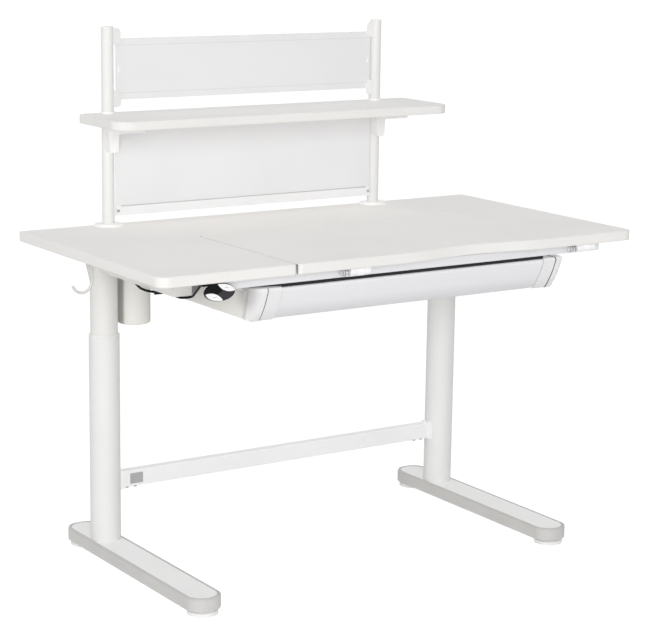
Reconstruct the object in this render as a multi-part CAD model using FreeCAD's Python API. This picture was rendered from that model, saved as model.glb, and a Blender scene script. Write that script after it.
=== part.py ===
import FreeCAD, Part
import math
import os

# An electric standing desk: two motor columns on long feet, a fixed L-shaped top with a tilting board in its
# notch, a shallow drawer, a hand controller, a coat hook and a two-post hutch with a shelf and two panels.
# Millimetres. X is to the right, the front faces -Y, Z is up, and Z = 0 is the floor.

Vector = FreeCAD.Vector

# Top
TOP_WIDTH = 1200.0
TOP_DEPTH = 634.0
TOP_HEIGHT = 724.0
TOP_THICK = 21.0
TOP_CORNER = 25.0
SMALL_CORNER = 5.0
GAP_CORNER = 9.0
BOARD_EDGE = 1.5
BOARD_GAP = 3.0
SIDE_WIDTH = 311.5
STRIP_DEPTH = 236.0
BELLY_WIDTH = 400.0
BELLY_DEPTH = 19.0
BELLY_OFFSET = 10.0

# Columns
LEG_INSET = 143.5
LEG_SETBACK = 118.5
COLUMN_R = 33.5
COLUMN_WALL = 2.5
COLUMN_TOP = 505.0
COLUMN_FLOOR = 6.0
SLEEVE_WALL = 1.0
SLEEVE_LENGTH = 48.0
SLEEVE_LIP = 0.8
SLEEVE_LIP_INSET = 1.5
TUBE_EDGE = 1.2
INNER_WALL = 2.5
INNER_LENGTH = 487.0
RUN_FIT = 0.06
SEAT_GAP = 0.1
CLEAR = 0.3

# Lift drive
SPINDLE_R = 7.0
SPINDLE_LENGTH = 445.0
SPINDLE_COLLAR = 5.0
SHAFT_PAST_GEAR = 4.0
NUT_R = 16.0
NUT_HEIGHT = 30.0
NUT_BELOW_TOP = 5.0
NUT_TUBE_R = 13.0
NUT_TUBE_WALL = 3.0
GEAR_MODULE = 1.5
DRIVEN_TEETH = 58
PINION_TEETH = 40
GEAR_THICK = 10.0
GEAR_LIFT = 3.0
GEAR_CLEAR = 0.65
TOOTH_THINNING = 0.35
CASE_RAISE = 25.0
CASE_WALL = 3.0
CASE_FLOOR = 8.0
MOTOR_R = 36.0
MOTOR_LENGTH = 149.0
MOTOR_WALL = 2.5
MOTOR_EDGE = 4.0
MOTOR_SHAFT_R = 5.0
ROTOR_R = 23.5
ROTOR_LENGTH = 90.0
AIR_GAP = 0.5

# Feet and floor glides
FOOT_LENGTH = 599.0
FOOT_WIDTH = 77.0
FOOT_HEIGHT = 29.5
FOOT_CORNER = 34.0
FOOT_OVERHANG = 17.0
FOOT_TRIM = 4.5
FOOT_EDGE = 3.0
FOOT_LIP = 2.5
FOOT_LIP_WIDTH = 6.0
PLATE_THICK = 6.0
PLATE_WALL = 4.0
PLATE_SINK = 0.8
GLIDE_HEIGHT = 11.5
GLIDE_R = 32.0
GLIDE_INSET = 33.5
GLIDE_NECK_R = 15.0
GLIDE_PAD = 7.0
GLIDE_SHOULDER = 5.0
GLIDE_EDGE = 1.0
STUD_R = 4.0
STUD_LENGTH = 24.0
BOSS_R = 11.0

# Stretcher between the columns
STRETCHER_TOP = 190.0
STRETCHER_HEIGHT = 36.5
STRETCHER_DEPTH = 24.0
STRETCHER_WALL = 2.0
SADDLE_THICK = 7.0
SADDLE_MARGIN = 2.5
PLUG_LENGTH = 44.0
PLUG_BOLT_IN = 13.0
PLUG_BOLT_PITCH = 20.0
PLUG_BOLT_HEAD_R = 4.2
PLUG_BOLT_HEAD = 4.0
PLUG_BOLT_R = 2.5
PLUG_BOLT_REACH = 6.0

# Under-top frame
CHANNEL_WIDTH = 42.0
CHANNEL_HEIGHT = 56.0
CHANNEL_SHEET = 3.0
CHANNEL_FRONT_CLEAR = 98.0
CHANNEL_DEEP_BACK = 20.0
CHANNEL_BACK = 95.0
BEAM_HEIGHT = 18.0
BEAM_DEPTH = 40.0
BEAM_WALL = 2.0
BEAM_SETBACK = 29.5
BEAM_DROP = 3.0
BEAM_RIGHT_INSET = 76.0
BEAM_LEFT_INSET = 160.0
PAD_LENGTH = 120.0
MID_BEAM_DEPTH = 50.0
MID_BEAM_HEIGHT = 21.0
LEDGE_WIDTH = 14.5
LEDGE_GAP = 0.2

# Front hinges of the tilting board
HINGE_AXIS_DROP = 11.0
HINGE_AXIS_SETBACK = 20.5
HINGE_R = 6.5
HINGE_LENGTH = 50.0
HINGE_KNUCKLE = 20.0
HINGE_GAP = 0.5
HINGE_LEAF = 2.5
HINGE_LEAF_DEPTH = 38.0
HINGE_PIN_R = 3.0
HINGE_LOWER_R = 8.0
HINGE_HEAD_R = 5.5
HINGE_HEAD = 20.0
HINGE_NUT = 7.0
HINGE_NECK_R = 4.2
HINGE_WASHER_R = 6.2
HINGE_WASHER = 1.6
HINGE_SCREW_HEAD_R = 2.2
HINGE_SCREW_LIFT = 2.6
HINGE_SCREW_IN = 5.0
LEFT_HINGE_INSET = 134.5
RIGHT_HINGE_INSET = 100.0

# Prop that holds the board at an angle
PROP_REAR_CLEAR = 43.0
PROP_LEFT_INSET = 202.5
PROP_RIGHT_INSET = 203.0
PROP_THICK = 6.0
PROP_HALF_HEIGHT = 6.0
PROP_ROD_R = 4.0
RAIL_PLATE = 4.0
RAIL_SLOT_FIT = 0.15
SIDE_GAP = 1.0
CLEVIS_THICK = 5.5
CLEVIS_LENGTH = 24.0
TILT_MAX_DEG = 40.0
NOTCH_COUNT = 5
NOTCH_R = 3.0

# Drawer
TRAY_LEFT_INSET = 242.0
TRAY_REAR_CLEAR = 19.0
TRAY_TOP_DROP = 35.0
TRAY_HEIGHT = 65.0
TRAY_WALL = 2.5
RUNNER_WIDTH = 8.0
RUNNER_THICK = 2.0
DRAWER_RAIL_SHEET = 2.0
DRAWER_RAIL_FIT = 0.3
DRAWER_RAIL_SPACE = 17.5
DRAWER_LIP_CLEAR = 1.5
FRONT_TOP_RISE = 5.2
FRONT_BOTTOM_DROP = 4.0
FRONT_SETBACK = 37.5
FRONT_SWEEP = 38.0
FRONT_DEPTH = 42.0
FRONT_BULGE = 4.5
FRONT_LIP = 5.0
FRONT_FOOT_ROUND = 8.0
FRONT_WALL = 6.0
FRONT_SHEET = 3.0
FRONT_STEP = 2.4
COLLAR_STEP = 0.6
CAP_JOINT = 0.8
LEFT_CAP_WIDTH = 65.0
RIGHT_CAP_WIDTH = 58.0
LEFT_GROOVE_IN = 30.5
RIGHT_GROOVE_IN = 24.0
CAP_GROOVE = 2.4
CAP_GROOVE_DEPTH = 1.5
LEFT_CAP_ROUND = 24.0
RIGHT_CAP_ROUND = 15.0
LEFT_CAP_OVERHANG = 6.0
RIGHT_CAP_OVERHANG = 18.0
FLARE_HIGH_LENGTH = 30.0
FLARE_LOW_LENGTH = 24.0

# Hand controller, its lead and the control box
POD_WIDTH = 68.0
POD_HEIGHT = 36.0
POD_DEPTH = 18.0
POD_RIM = 6.0
POD_TAPER = 10.0
POD_SETBACK = 7.5
POD_FROM_LEFT = 137.0
POD_DROP = 2.0
POD_EDGE = 1.0
POD_MOUNT_LEFT = 39.0
POD_MOUNT_RIGHT = 9.0
POD_MOUNT_SETBACK = 1.0
POD_MOUNT = 6.0
BUTTON_RADIUS = 34.3
BUTTON_CENTRE_X = 23.5
BUTTON_CENTRE_Z = 34.8
BUTTON_INSET = 1.3
BUTTON_PROUD = 1.6
BUTTON_DEPTH = 5.0
BUTTON_FIT = 0.4
BUTTON_STEM_R = 2.0
BUTTON_STEM_X = 15.0
BUTTON_STEM_Z = 7.5
BUTTON_STEM = 3.0
BUTTON_SWITCH = 2.0
LEAD_R = 2.6
LEAD_DROP = 1.2
LEAD_FROM_POD = 24.0
LEAD_EXIT_RUN = 8.0
LEAD_BEND_AHEAD = 14.0
LEAD_BEND_RISE = 3.5
LEAD_OUTSIDE = 4.5
LEAD_BOX_IN = 20.0
LEAD_BOX_DROP = 30.0
CLIP_HALF = 2.5
CLIP_WALL = 1.8
DUCT_WIDTH = 25.0
DUCT_HEIGHT = 56.0
DUCT_SLANT = 18.0
DUCT_REAR_CLEAR = 8.0
DUCT_SETBACK = 3.0
DUCT_WALL = 2.0
BOX_LENGTH = 190.0
BOX_WIDTH = 80.0
BOX_HEIGHT = 38.0
BOX_FROM_LEFT = 280.0
BOX_SETBACK = 103.5
BOX_EDGE = 3.0
INLET_WIDTH = 28.0
INLET_HEIGHT = 20.0
INLET_DEPTH = 17.0
INLET_WALL = 1.5
INLET_BLADE = 11.0

# Coat hook
HOOK_WIRE_R = 3.0
HOOK_BEND = 22.5
HOOK_DROP = 51.5
HOOK_FROM_LEFT = 48.0
HOOK_SETBACK = 251.5
HOOK_TIP_DROP = 8.5
HOOK_WEB_LEFT = 16.0
HOOK_WEB_HEIGHT = 50.0
HOOK_WEB_THICK = 5.0
HOOK_PLATE_LENGTH = 34.0
HOOK_PLATE_WIDTH = 18.0
HOOK_PLATE = 3.0

# Hutch
POST_LEFT_INSET = 208.0
POST_RIGHT_INSET = 283.5
POST_SETBACK = 18.5
POST_R = 13.5
POST_WALL = 1.5
POST_HEIGHT = 436.5
POST_EDGE = 2.0
FLANGE_R = 35.0
FLANGE_THICK = 5.0
FLANGE_TOP_R = 30.0
SHELF_LEFT = 64.0
SHELF_RIGHT = 100.0
SHELF_DEPTH = 199.5
SHELF_BEHIND = 23.5
SHELF_TOP_RISE = 247.0
SHELF_THICK = 19.0
SHELF_CORNER = 42.0
SHELF_BACK_CORNER = 20.0
COLLAR_R = 16.5
COLLAR_HEIGHT = 5.0
BRACKET_HALF_WIDTH = 13.0
BRACKET_TAPER = 2.0
BRACKET_CORNER = 6.0
BRACKET_REACH = 30.0
BRACKET_HEIGHT = 64.0
BRACKET_ARM = 77.0
BRACKET_PLATE = 4.0
BRACKET_LIP = 24.0
BRACKET_LIP_THICK = 3.0
BRACKET_PLATE_DEPTH = 22.0
UPPER_SIDE_GAP = 4.5
LOWER_SIDE_GAP = 2.0
PANEL_SHEET = 1.5
PANEL_FOLD = 12.0
PANEL_FRONT = 6.0
UPPER_PANEL_TOP_DROP = 27.5
UPPER_PANEL_HEIGHT = 132.0
UPPER_BAND_TOP = 18.0
UPPER_BAND_BOTTOM = 10.0
BAND_STEP = 0.8
PANEL_SLOT = 3.5
PANEL_SLOT_LENGTH = 14.0
PANEL_SLOT_INSET = 7.5
EAR_HEIGHT = 36.0
EAR_OVERLAP = 10.0
EAR_THICK = 4.0
EAR_RISE = 24.0
EAR_HANG = 16.0
RAIL_LIFT = 21.0
RAIL_HEIGHT = 22.0
RAIL_THICK = 5.0
RAIL_PEG_R = 2.0
RAIL_SCREW_IN = 4.5

# Fasteners
SCREW_HEAD_R = 3.2
SCREW_HEAD = 1.8
SCREW_R = 1.6
SCREW_LENGTH = 4.0
BOLT_HEAD_R = 6.5
BOLT_HEAD = 5.0
BOLT_R = 4.0
BOLT_CIRCLE = 21.0

# Places worked out from the sizes above
OVERALL_DEPTH = TOP_DEPTH + FOOT_OVERHANG
FRONT_Y = -OVERALL_DEPTH / 2
BACK_Y = FRONT_Y + TOP_DEPTH
FOOT_BACK_Y = OVERALL_DEPTH / 2
LEFT_X = -TOP_WIDTH / 2
RIGHT_X = TOP_WIDTH / 2
UNDER_Z = TOP_HEIGHT - TOP_THICK
LEG_Y = BACK_Y - LEG_SETBACK
LEG_SPAN = TOP_WIDTH - 2 * LEG_INSET
LEG_SIDES = {"left": -1, "right": 1}
FOOT_TOP = GLIDE_HEIGHT + FOOT_HEIGHT
PLATE_TOP = FOOT_TOP - PLATE_SINK
INNER_R = COLUMN_R - COLUMN_WALL - SLEEVE_WALL
CHANNEL_BOTTOM = UNDER_Z - CHANNEL_HEIGHT
MOTOR_OFFSET = GEAR_MODULE * (DRIVEN_TEETH + PINION_TEETH) / 2
DRIVEN_TIP_R = GEAR_MODULE * (DRIVEN_TEETH / 2 + 0.9)
CASE_R = DRIVEN_TIP_R + GEAR_CLEAR + CASE_WALL
CASE_BOTTOM = CHANNEL_BOTTOM + CASE_RAISE
GEAR_Z = CASE_BOTTOM + CASE_FLOOR + GEAR_LIFT
NUT_TOP = COLUMN_TOP - NUT_BELOW_TOP
STRIP_FRONT_Y = BACK_Y - STRIP_DEPTH
BOARD_LEFT_X = LEFT_X + SIDE_WIDTH + BOARD_GAP
BOARD_BACK_Y = STRIP_FRONT_Y - BOARD_GAP
BEAM_FRONT_Y = FRONT_Y + BEAM_SETBACK
BEAM_BACK_Y = BEAM_FRONT_Y + BEAM_DEPTH
BEAM_TOP = UNDER_Z - BEAM_DROP
BEAM_BOTTOM = BEAM_TOP - BEAM_HEIGHT
BEAM_X = (LEFT_X + BEAM_LEFT_INSET, RIGHT_X - BEAM_RIGHT_INSET)
MID_BEAM_FRONT_Y = STRIP_FRONT_Y - LEDGE_WIDTH
MID_BEAM_Y = (MID_BEAM_FRONT_Y, MID_BEAM_FRONT_Y + MID_BEAM_DEPTH)
CHANNEL_Y = (BEAM_BACK_Y + CHANNEL_FRONT_CLEAR, LEG_Y + CHANNEL_DEEP_BACK)
CHANNEL_INSIDE_X = LEG_SPAN / 2 - CHANNEL_WIDTH / 2
HINGE_Y = FRONT_Y + HINGE_AXIS_SETBACK
HINGE_Z = UNDER_Z - HINGE_AXIS_DROP
HINGE_X = (BOARD_LEFT_X + LEFT_HINGE_INSET, RIGHT_X - RIGHT_HINGE_INSET - HINGE_LENGTH)
PROP_ARM = (MID_BEAM_Y[0] - HINGE_Y - PROP_REAR_CLEAR) / 2
PROP_PIVOT_Y = HINGE_Y + PROP_ARM
PROP_FOOT_Y = HINGE_Y + 2 * PROP_ARM
PROP_FOOT_MIN_Y = HINGE_Y + 2 * PROP_ARM * math.cos(math.radians(TILT_MAX_DEG))
PROP_X = (BOARD_LEFT_X + PROP_LEFT_INSET, RIGHT_X - PROP_RIGHT_INSET)
TRAY_TOP = UNDER_Z - TRAY_TOP_DROP
TRAY_BOTTOM = TRAY_TOP - TRAY_HEIGHT
TRAY_X = (LEFT_X + TRAY_LEFT_INSET, CHANNEL_INSIDE_X - DRAWER_RAIL_SPACE)
FRONT_FACE_Y = FRONT_Y + FRONT_SETBACK
FRONT_FOOT_Y = FRONT_FACE_Y + FRONT_SWEEP
FRONT_TOP = TRAY_TOP + FRONT_TOP_RISE
FRONT_BOTTOM = TRAY_BOTTOM - FRONT_BOTTOM_DROP
TRAY_FRONT_Y = FRONT_FACE_Y + FRONT_DEPTH
TRAY_Y = (TRAY_FRONT_Y, MID_BEAM_Y[0] - TRAY_REAR_CLEAR)
DRAWER_X = (TRAY_X[0] - LEFT_CAP_OVERHANG, TRAY_X[1] + RIGHT_CAP_OVERHANG)
POD_X = LEFT_X + POD_FROM_LEFT
POD_Y = FRONT_Y + POD_SETBACK
POD_Z = UNDER_Z - POD_DROP - POD_HEIGHT / 2
POST_X = (LEFT_X + POST_LEFT_INSET, RIGHT_X - POST_RIGHT_INSET)
POST_Y = BACK_Y - POST_SETBACK
POST_TOP = TOP_HEIGHT + POST_HEIGHT
SHELF_TOP = TOP_HEIGHT + SHELF_TOP_RISE
SHELF_BOTTOM = SHELF_TOP - SHELF_THICK
SHELF_Y = (POST_Y + SHELF_BEHIND - SHELF_DEPTH, POST_Y + SHELF_BEHIND)
UPPER_X = (POST_X[0] + POST_R + UPPER_SIDE_GAP, POST_X[1] - POST_R - UPPER_SIDE_GAP)
LOWER_X = (POST_X[0] + POST_R + LOWER_SIDE_GAP, POST_X[1] - POST_R - LOWER_SIDE_GAP)
PANEL_FACE_Y = POST_Y - PANEL_FRONT
UPPER_PANEL_TOP = POST_TOP - UPPER_PANEL_TOP_DROP
UPPER_PANEL_BOTTOM = UPPER_PANEL_TOP - UPPER_PANEL_HEIGHT
LOWER_RAIL_Z = (TOP_HEIGHT + RAIL_LIFT, TOP_HEIGHT + RAIL_LIFT + RAIL_HEIGHT)
BOX_X = (LEFT_X + BOX_FROM_LEFT, LEFT_X + BOX_FROM_LEFT + BOX_LENGTH)
BOX_Y = (BACK_Y - BOX_SETBACK - BOX_WIDTH, BACK_Y - BOX_SETBACK)
HOOK_X = LEFT_X + HOOK_FROM_LEFT
HOOK_Y = BACK_Y - HOOK_SETBACK

# The lead's route: from the controller's mount, under the left channel, along the mid beam, into the control box.
# Each place is a step from the one before it, apart from the two ends and the places on the channel and the beam.
CHANNEL_X = -LEG_SPAN / 2
CHANNEL_EDGE_X = CHANNEL_X - CHANNEL_WIDTH / 2
LEAD_Z = CHANNEL_BOTTOM - LEAD_R - LEAD_DROP
LEAD_BEAM_Z = UNDER_Z - MID_BEAM_HEIGHT - LEAD_R - LEAD_DROP
LEAD_START = (POD_X - LEAD_FROM_POD, POD_Y + POD_DEPTH, UNDER_Z - POD_MOUNT / 2)
LEAD_END = (BOX_X[0] + LEAD_BOX_IN, BOX_Y[0], UNDER_Z - LEAD_BOX_DROP)
LEAD_BEAM_Y = (MID_BEAM_Y[0] + MID_BEAM_Y[1]) / 2
LEAD_ROUTE = [
    LEAD_START,
    (LEAD_START[0], LEAD_START[1] + LEAD_EXIT_RUN, LEAD_START[2]),
    (CHANNEL_X + LEAD_BEND_AHEAD, CHANNEL_Y[0] - LEAD_BEND_AHEAD, LEAD_Z + LEAD_BEND_RISE),
    (CHANNEL_X - LEAD_R, CHANNEL_Y[0] + LEAD_R, LEAD_Z),
    (CHANNEL_X, CHANNEL_Y[0] + 1.55 * CHANNEL_WIDTH, LEAD_Z),
    (CHANNEL_EDGE_X - LEAD_OUTSIDE, CHANNEL_Y[0] + 2.25 * CHANNEL_WIDTH, LEAD_Z),
    (CHANNEL_EDGE_X - LEAD_OUTSIDE, CHANNEL_Y[0] + 3.1 * CHANNEL_WIDTH, LEAD_Z),
    (CHANNEL_X - 5 * LEAD_R, CHANNEL_Y[0] + 4.1 * CHANNEL_WIDTH, LEAD_Z),
    (CHANNEL_X + 2 * LEAD_R, MID_BEAM_Y[0] + LEAD_R, LEAD_Z),
    (CHANNEL_X + 0.8 * CHANNEL_WIDTH, LEAD_BEAM_Y, LEAD_Z),
    (CHANNEL_X + 1.4 * CHANNEL_WIDTH, LEAD_BEAM_Y + LEAD_R, LEAD_BEAM_Z),
    (LEAD_END[0] - 0.75 * CHANNEL_WIDTH, LEAD_BEAM_Y + LEAD_R, LEAD_BEAM_Z),
    (LEAD_END[0], LEAD_END[1] - 0.7 * CHANNEL_WIDTH, LEAD_END[2]),
    LEAD_END,
]


def box(x, y, z):
    """A block between the low and high values of x, y and z."""
    size = (x[1] - x[0], y[1] - y[0], z[1] - z[0])
    return Part.makeBox(*size, Vector(x[0], y[0], z[0]))


def rod(radius, start, end):
    """A round bar from start to end."""
    start, end = Vector(*start), Vector(*end)
    return Part.makeCylinder(radius, (end - start).Length, start, end - start)


def upright(radius, x, y, z):
    """A vertical round bar between two heights."""
    return rod(radius, (x, y, z[0]), (x, y, z[1]))


def pipe(outer, inner, x, y, z):
    """A vertical tube between two heights."""
    return upright(outer, x, y, z).cut(upright(inner, x, y, z))


def fuse(shapes):
    """One solid from shapes that overlap or touch."""
    return shapes[0].multiFuse(shapes[1:]).removeSplitter()


def rounded_wire(corners, place):
    """A closed outline of straight sides and corner arcs; corners are (a, b, radius), place makes a point."""
    edges = []
    ends = []
    count = len(corners)
    for i, (a, b, radius) in enumerate(corners):
        here = Vector(a, b, 0)
        back = (Vector(*corners[i - 1][:2], 0) - here).normalize()
        on = (Vector(*corners[(i + 1) % count][:2], 0) - here).normalize()
        half = back.getAngle(on) / 2
        reach = radius / math.tan(half)
        first, last = here + back * reach, here + on * reach
        middle = here + (back + on).normalize() * (radius / math.sin(half) - radius)
        ends.append((first, middle, last, radius))
    for i, (first, middle, last, radius) in enumerate(ends):
        if radius > 0:
            edges.append(Part.Arc(place(first), place(middle), place(last)).toShape())
        start, end = place(last), place(ends[(i + 1) % count][0])
        if (end - start).Length > 1e-6:
            edges.append(Part.LineSegment(start, end).toShape())
    return Part.Wire(edges)


def slab(corners, z):
    """A board with a rounded outline between two heights."""
    wire = rounded_wire(corners, lambda p: Vector(p.x, p.y, z[0]))
    return Part.Face(wire).extrude(Vector(0, 0, z[1] - z[0]))


def plate_xz(corners, y):
    """An upright plate whose outline is drawn in x and z."""
    wire = rounded_wire(corners, lambda p: Vector(p.x, y[0], p.y))
    return Part.Face(wire).extrude(Vector(0, y[1] - y[0], 0))


def rectangle(x, y, radius):
    """Corners of a rectangle with one radius, counter-clockwise."""
    return [(x[0], y[0], radius), (x[1], y[0], radius), (x[1], y[1], radius), (x[0], y[1], radius)]


def level_edges(solid, heights):
    """The edges that lie flat at one of the heights."""
    def flat(edge):
        low, high = edge.BoundBox.ZMin, edge.BoundBox.ZMax
        return high - low < 1e-4 and any(abs(low - h) < 1e-4 for h in heights)
    return [edge for edge in solid.Edges if flat(edge)]


def soften(solid, radius, heights):
    """Rounds over the flat edges at the given heights."""
    return solid.makeFillet(radius, level_edges(solid, heights))


def screw(start, way, length=SCREW_LENGTH, head_r=SCREW_HEAD_R, head=SCREW_HEAD, shank_r=SCREW_R):
    """A fastener whose head sits on the point and whose shank runs along way into the piece."""
    point, way = Vector(*start), Vector(*way)
    top = Part.makeCylinder(head_r, head, point - way * head, way)
    return top.fuse(Part.makeCylinder(shank_r, length, point, way)).removeSplitter()


def bolt(start, way, length):
    """A larger fastener, as used on the columns."""
    return screw(start, way, length, BOLT_HEAD_R, BOLT_HEAD, BOLT_R)


def cut_all(shape, tools):
    """The shape without any of the tools."""
    return shape.cut(Part.makeCompound(tools))


def export(node, shape):
    """Writes one node, after checking that its solids are whole."""
    solids = shape.Solids
    assert solids and all(s.isValid() and s.Volume > 0 for s in solids), node
    body = solids[0] if len(solids) == 1 else Part.makeCompound(solids)
    body.exportStep(f"parts/{node}.step")
    print(f"{node}: {len(solids)} solid(s), {body.Volume / 1000:.1f} cm3")


# Feet

def foot_corners(side, inset):
    """The foot's outline, drawn in by inset."""
    x = side * LEG_SPAN / 2
    half = FOOT_WIDTH / 2 - inset
    y = (FOOT_BACK_Y - FOOT_LENGTH + inset, FOOT_BACK_Y - inset)
    return rectangle((x - half, x + half), y, FOOT_CORNER - inset)


def glide_places(side):
    """Front and rear glide axes of one foot."""
    x = side * LEG_SPAN / 2
    return {"front": (x, FOOT_BACK_Y - FOOT_LENGTH + GLIDE_INSET), "rear": (x, FOOT_BACK_Y - GLIDE_INSET)}


def foot_trim(side):
    """The grey bumper that runs round the foot, with a lip under the plate."""
    outer = slab(foot_corners(side, 0), (GLIDE_HEIGHT, FOOT_TOP))
    outer = soften(outer, FOOT_EDGE, (GLIDE_HEIGHT, FOOT_TOP))
    well = slab(foot_corners(side, FOOT_TRIM), (GLIDE_HEIGHT + FOOT_LIP, FOOT_TOP))
    mouth = slab(foot_corners(side, FOOT_TRIM + FOOT_LIP_WIDTH), (GLIDE_HEIGHT, FOOT_TOP))
    return outer.cut(well).cut(mouth)


def column_bolts(side):
    """Four bolts from under the foot plate into the column's floor."""
    x = side * LEG_SPAN / 2
    reach = BOLT_CIRCLE / math.sqrt(2)
    corners = [(x + a * reach, LEG_Y + b * reach, PLATE_TOP - PLATE_THICK) for a in (-1, 1) for b in (-1, 1)]
    return [bolt(corner, (0, 0, 1), PLATE_THICK + COLUMN_FLOOR) for corner in corners]


def foot_plate(side):
    """The steel foot: a pan open below, with a boss for each glide stud."""
    inset = FOOT_TRIM + SEAT_GAP
    low = GLIDE_HEIGHT + FOOT_LIP
    pan = slab(foot_corners(side, inset), (low, PLATE_TOP))
    pan = pan.cut(slab(foot_corners(side, inset + PLATE_WALL), (low, PLATE_TOP - PLATE_THICK)))
    bosses = [upright(BOSS_R, *place, (low, PLATE_TOP - PLATE_THICK)) for place in glide_places(side).values()]
    bores = [upright(STUD_R + RUN_FIT, *place, (low, GLIDE_HEIGHT + STUD_LENGTH))
             for place in glide_places(side).values()]
    return cut_all(cut_all(fuse([pan] + bosses), bores), column_bolts(side))


def glide(side, end):
    """A levelling foot: a wide pad, a cone up to its neck, and the threaded stud."""
    x, y = glide_places(side)[end]
    cone_top = GLIDE_HEIGHT - CLEAR
    pad = soften(upright(GLIDE_R, x, y, (0, GLIDE_PAD)), GLIDE_EDGE, (0, GLIDE_PAD))
    cone = Part.makeCone(GLIDE_R - GLIDE_SHOULDER, GLIDE_NECK_R, cone_top - GLIDE_PAD, Vector(x, y, GLIDE_PAD))
    neck = upright(GLIDE_NECK_R, x, y, (cone_top, cone_top + FOOT_LIP))
    stud = upright(STUD_R, x, y, (0, GLIDE_HEIGHT + STUD_LENGTH - CLEAR))
    return fuse([pad, cone, neck, stud])


# Columns

def outer_tube(side):
    """The lower tube with its floor, which the foot bolts run into."""
    x = side * LEG_SPAN / 2
    shell = upright(COLUMN_R, x, LEG_Y, (PLATE_TOP, COLUMN_TOP))
    shell = soften(shell, TUBE_EDGE, (COLUMN_TOP,))
    bore = upright(COLUMN_R - COLUMN_WALL, x, LEG_Y, (PLATE_TOP + COLUMN_FLOOR, COLUMN_TOP))
    return cut_all(shell.cut(bore), column_bolts(side))


def guide_sleeve(side):
    """The plastic sleeve in the mouth of the lower tube; the upper tube runs in it."""
    x = side * LEG_SPAN / 2
    bore_r = INNER_R + RUN_FIT
    wall = pipe(COLUMN_R - COLUMN_WALL, bore_r, x, LEG_Y, (COLUMN_TOP - SLEEVE_LENGTH, COLUMN_TOP))
    lip = pipe(COLUMN_R - SLEEVE_LIP_INSET, bore_r, x, LEG_Y, (COLUMN_TOP, COLUMN_TOP + SLEEVE_LIP))
    return fuse([wall, lip])


def inner_tube(side):
    """The upper tube that rises with the top."""
    x = side * LEG_SPAN / 2
    return pipe(INNER_R, INNER_R - INNER_WALL, x, LEG_Y, (CASE_BOTTOM - INNER_LENGTH, CASE_BOTTOM))


def lower_slider(side):
    """The ring on the upper tube's foot that runs in the lower tube."""
    x = side * LEG_SPAN / 2
    low = CASE_BOTTOM - INNER_LENGTH
    return pipe(COLUMN_R - COLUMN_WALL - RUN_FIT, INNER_R, x, LEG_Y, (low, low + SLEEVE_LENGTH))


def nut_tube(side):
    """The tube that stands on the column's floor and carries the nut."""
    x = side * LEG_SPAN / 2
    height = (PLATE_TOP + COLUMN_FLOOR, NUT_TOP - NUT_HEIGHT)
    return pipe(NUT_TUBE_R, NUT_TUBE_R - NUT_TUBE_WALL, x, LEG_Y, height)


def spindle_nut(side):
    """The nut that the spindle climbs in."""
    x = side * LEG_SPAN / 2
    return pipe(NUT_R, SPINDLE_R + RUN_FIT, x, LEG_Y, (NUT_TOP - NUT_HEIGHT, NUT_TOP))


# Gears and motors

def gear(teeth, x, y, z, phase):
    """A spur gear with straight flanks and thinned teeth; phase turns it, in tooth pitches."""
    pitch_r = GEAR_MODULE * teeth / 2
    tip_r, root_r = pitch_r + 0.9 * GEAR_MODULE, pitch_r - 1.25 * GEAR_MODULE
    half = math.pi * GEAR_MODULE / 4 - TOOTH_THINNING
    slope = math.tan(math.radians(20))
    tip_half = (half - slope * (tip_r - pitch_r)) / tip_r
    root_half = (half + slope * (pitch_r - root_r)) / root_r
    points = []
    for i in range(teeth):
        middle = 2 * math.pi * (i + phase) / teeth
        for radius, turn in ((root_r, -root_half), (tip_r, -tip_half), (tip_r, tip_half), (root_r, root_half)):
            points.append(Vector(x + radius * math.cos(middle + turn), y + radius * math.sin(middle + turn), z))
    return Part.Face(Part.makePolygon(points + points[:1])).extrude(Vector(0, 0, GEAR_THICK))


def motor_x(side):
    """The motor stands on the inner side of its column."""
    return side * (LEG_SPAN / 2 - MOTOR_OFFSET)


def spindle(side):
    """The lift spindle with its driven gear and the collar that it hangs on."""
    x = side * LEG_SPAN / 2
    shaft = upright(SPINDLE_R, x, LEG_Y, (CASE_BOTTOM - SPINDLE_LENGTH, GEAR_Z + GEAR_THICK + SHAFT_PAST_GEAR))
    collar = upright(SPINDLE_R + SPINDLE_COLLAR, x, LEG_Y, (CASE_BOTTOM + CASE_FLOOR + LEDGE_GAP, GEAR_Z))
    return fuse([gear(DRIVEN_TEETH, x, LEG_Y, GEAR_Z, 0.0), shaft, collar])


def core_span():
    """The heights between which the rotor's core and the windings lie."""
    room = MOTOR_LENGTH - MOTOR_WALL
    low = CASE_BOTTOM - room + (room - ROTOR_LENGTH) / 2
    return (low, low + ROTOR_LENGTH)


def rotor(side):
    """The motor's rotor, shaft and pinion, in mesh with the driven gear at rest."""
    x = motor_x(side)
    low = CASE_BOTTOM - MOTOR_LENGTH + MOTOR_WALL + CLEAR
    core = upright(ROTOR_R, x, LEG_Y, core_span())
    shaft = upright(MOTOR_SHAFT_R, x, LEG_Y, (low, GEAR_Z + GEAR_THICK + SHAFT_PAST_GEAR))
    return fuse([gear(PINION_TEETH, x, LEG_Y, GEAR_Z, 0.5), core, shaft])


def stator(side):
    """The winding ring between the rotor and the housing."""
    return pipe(MOTOR_R - MOTOR_WALL, ROTOR_R + AIR_GAP, motor_x(side), LEG_Y, core_span())


def motor_housing(side):
    """The round can round the motor, closed below."""
    low = CASE_BOTTOM - MOTOR_LENGTH
    can = soften(upright(MOTOR_R, motor_x(side), LEG_Y, (low, CASE_BOTTOM)), MOTOR_EDGE, (low,))
    return can.cut(upright(MOTOR_R - MOTOR_WALL, motor_x(side), LEG_Y, (low + MOTOR_WALL, CASE_BOTTOM)))


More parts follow.
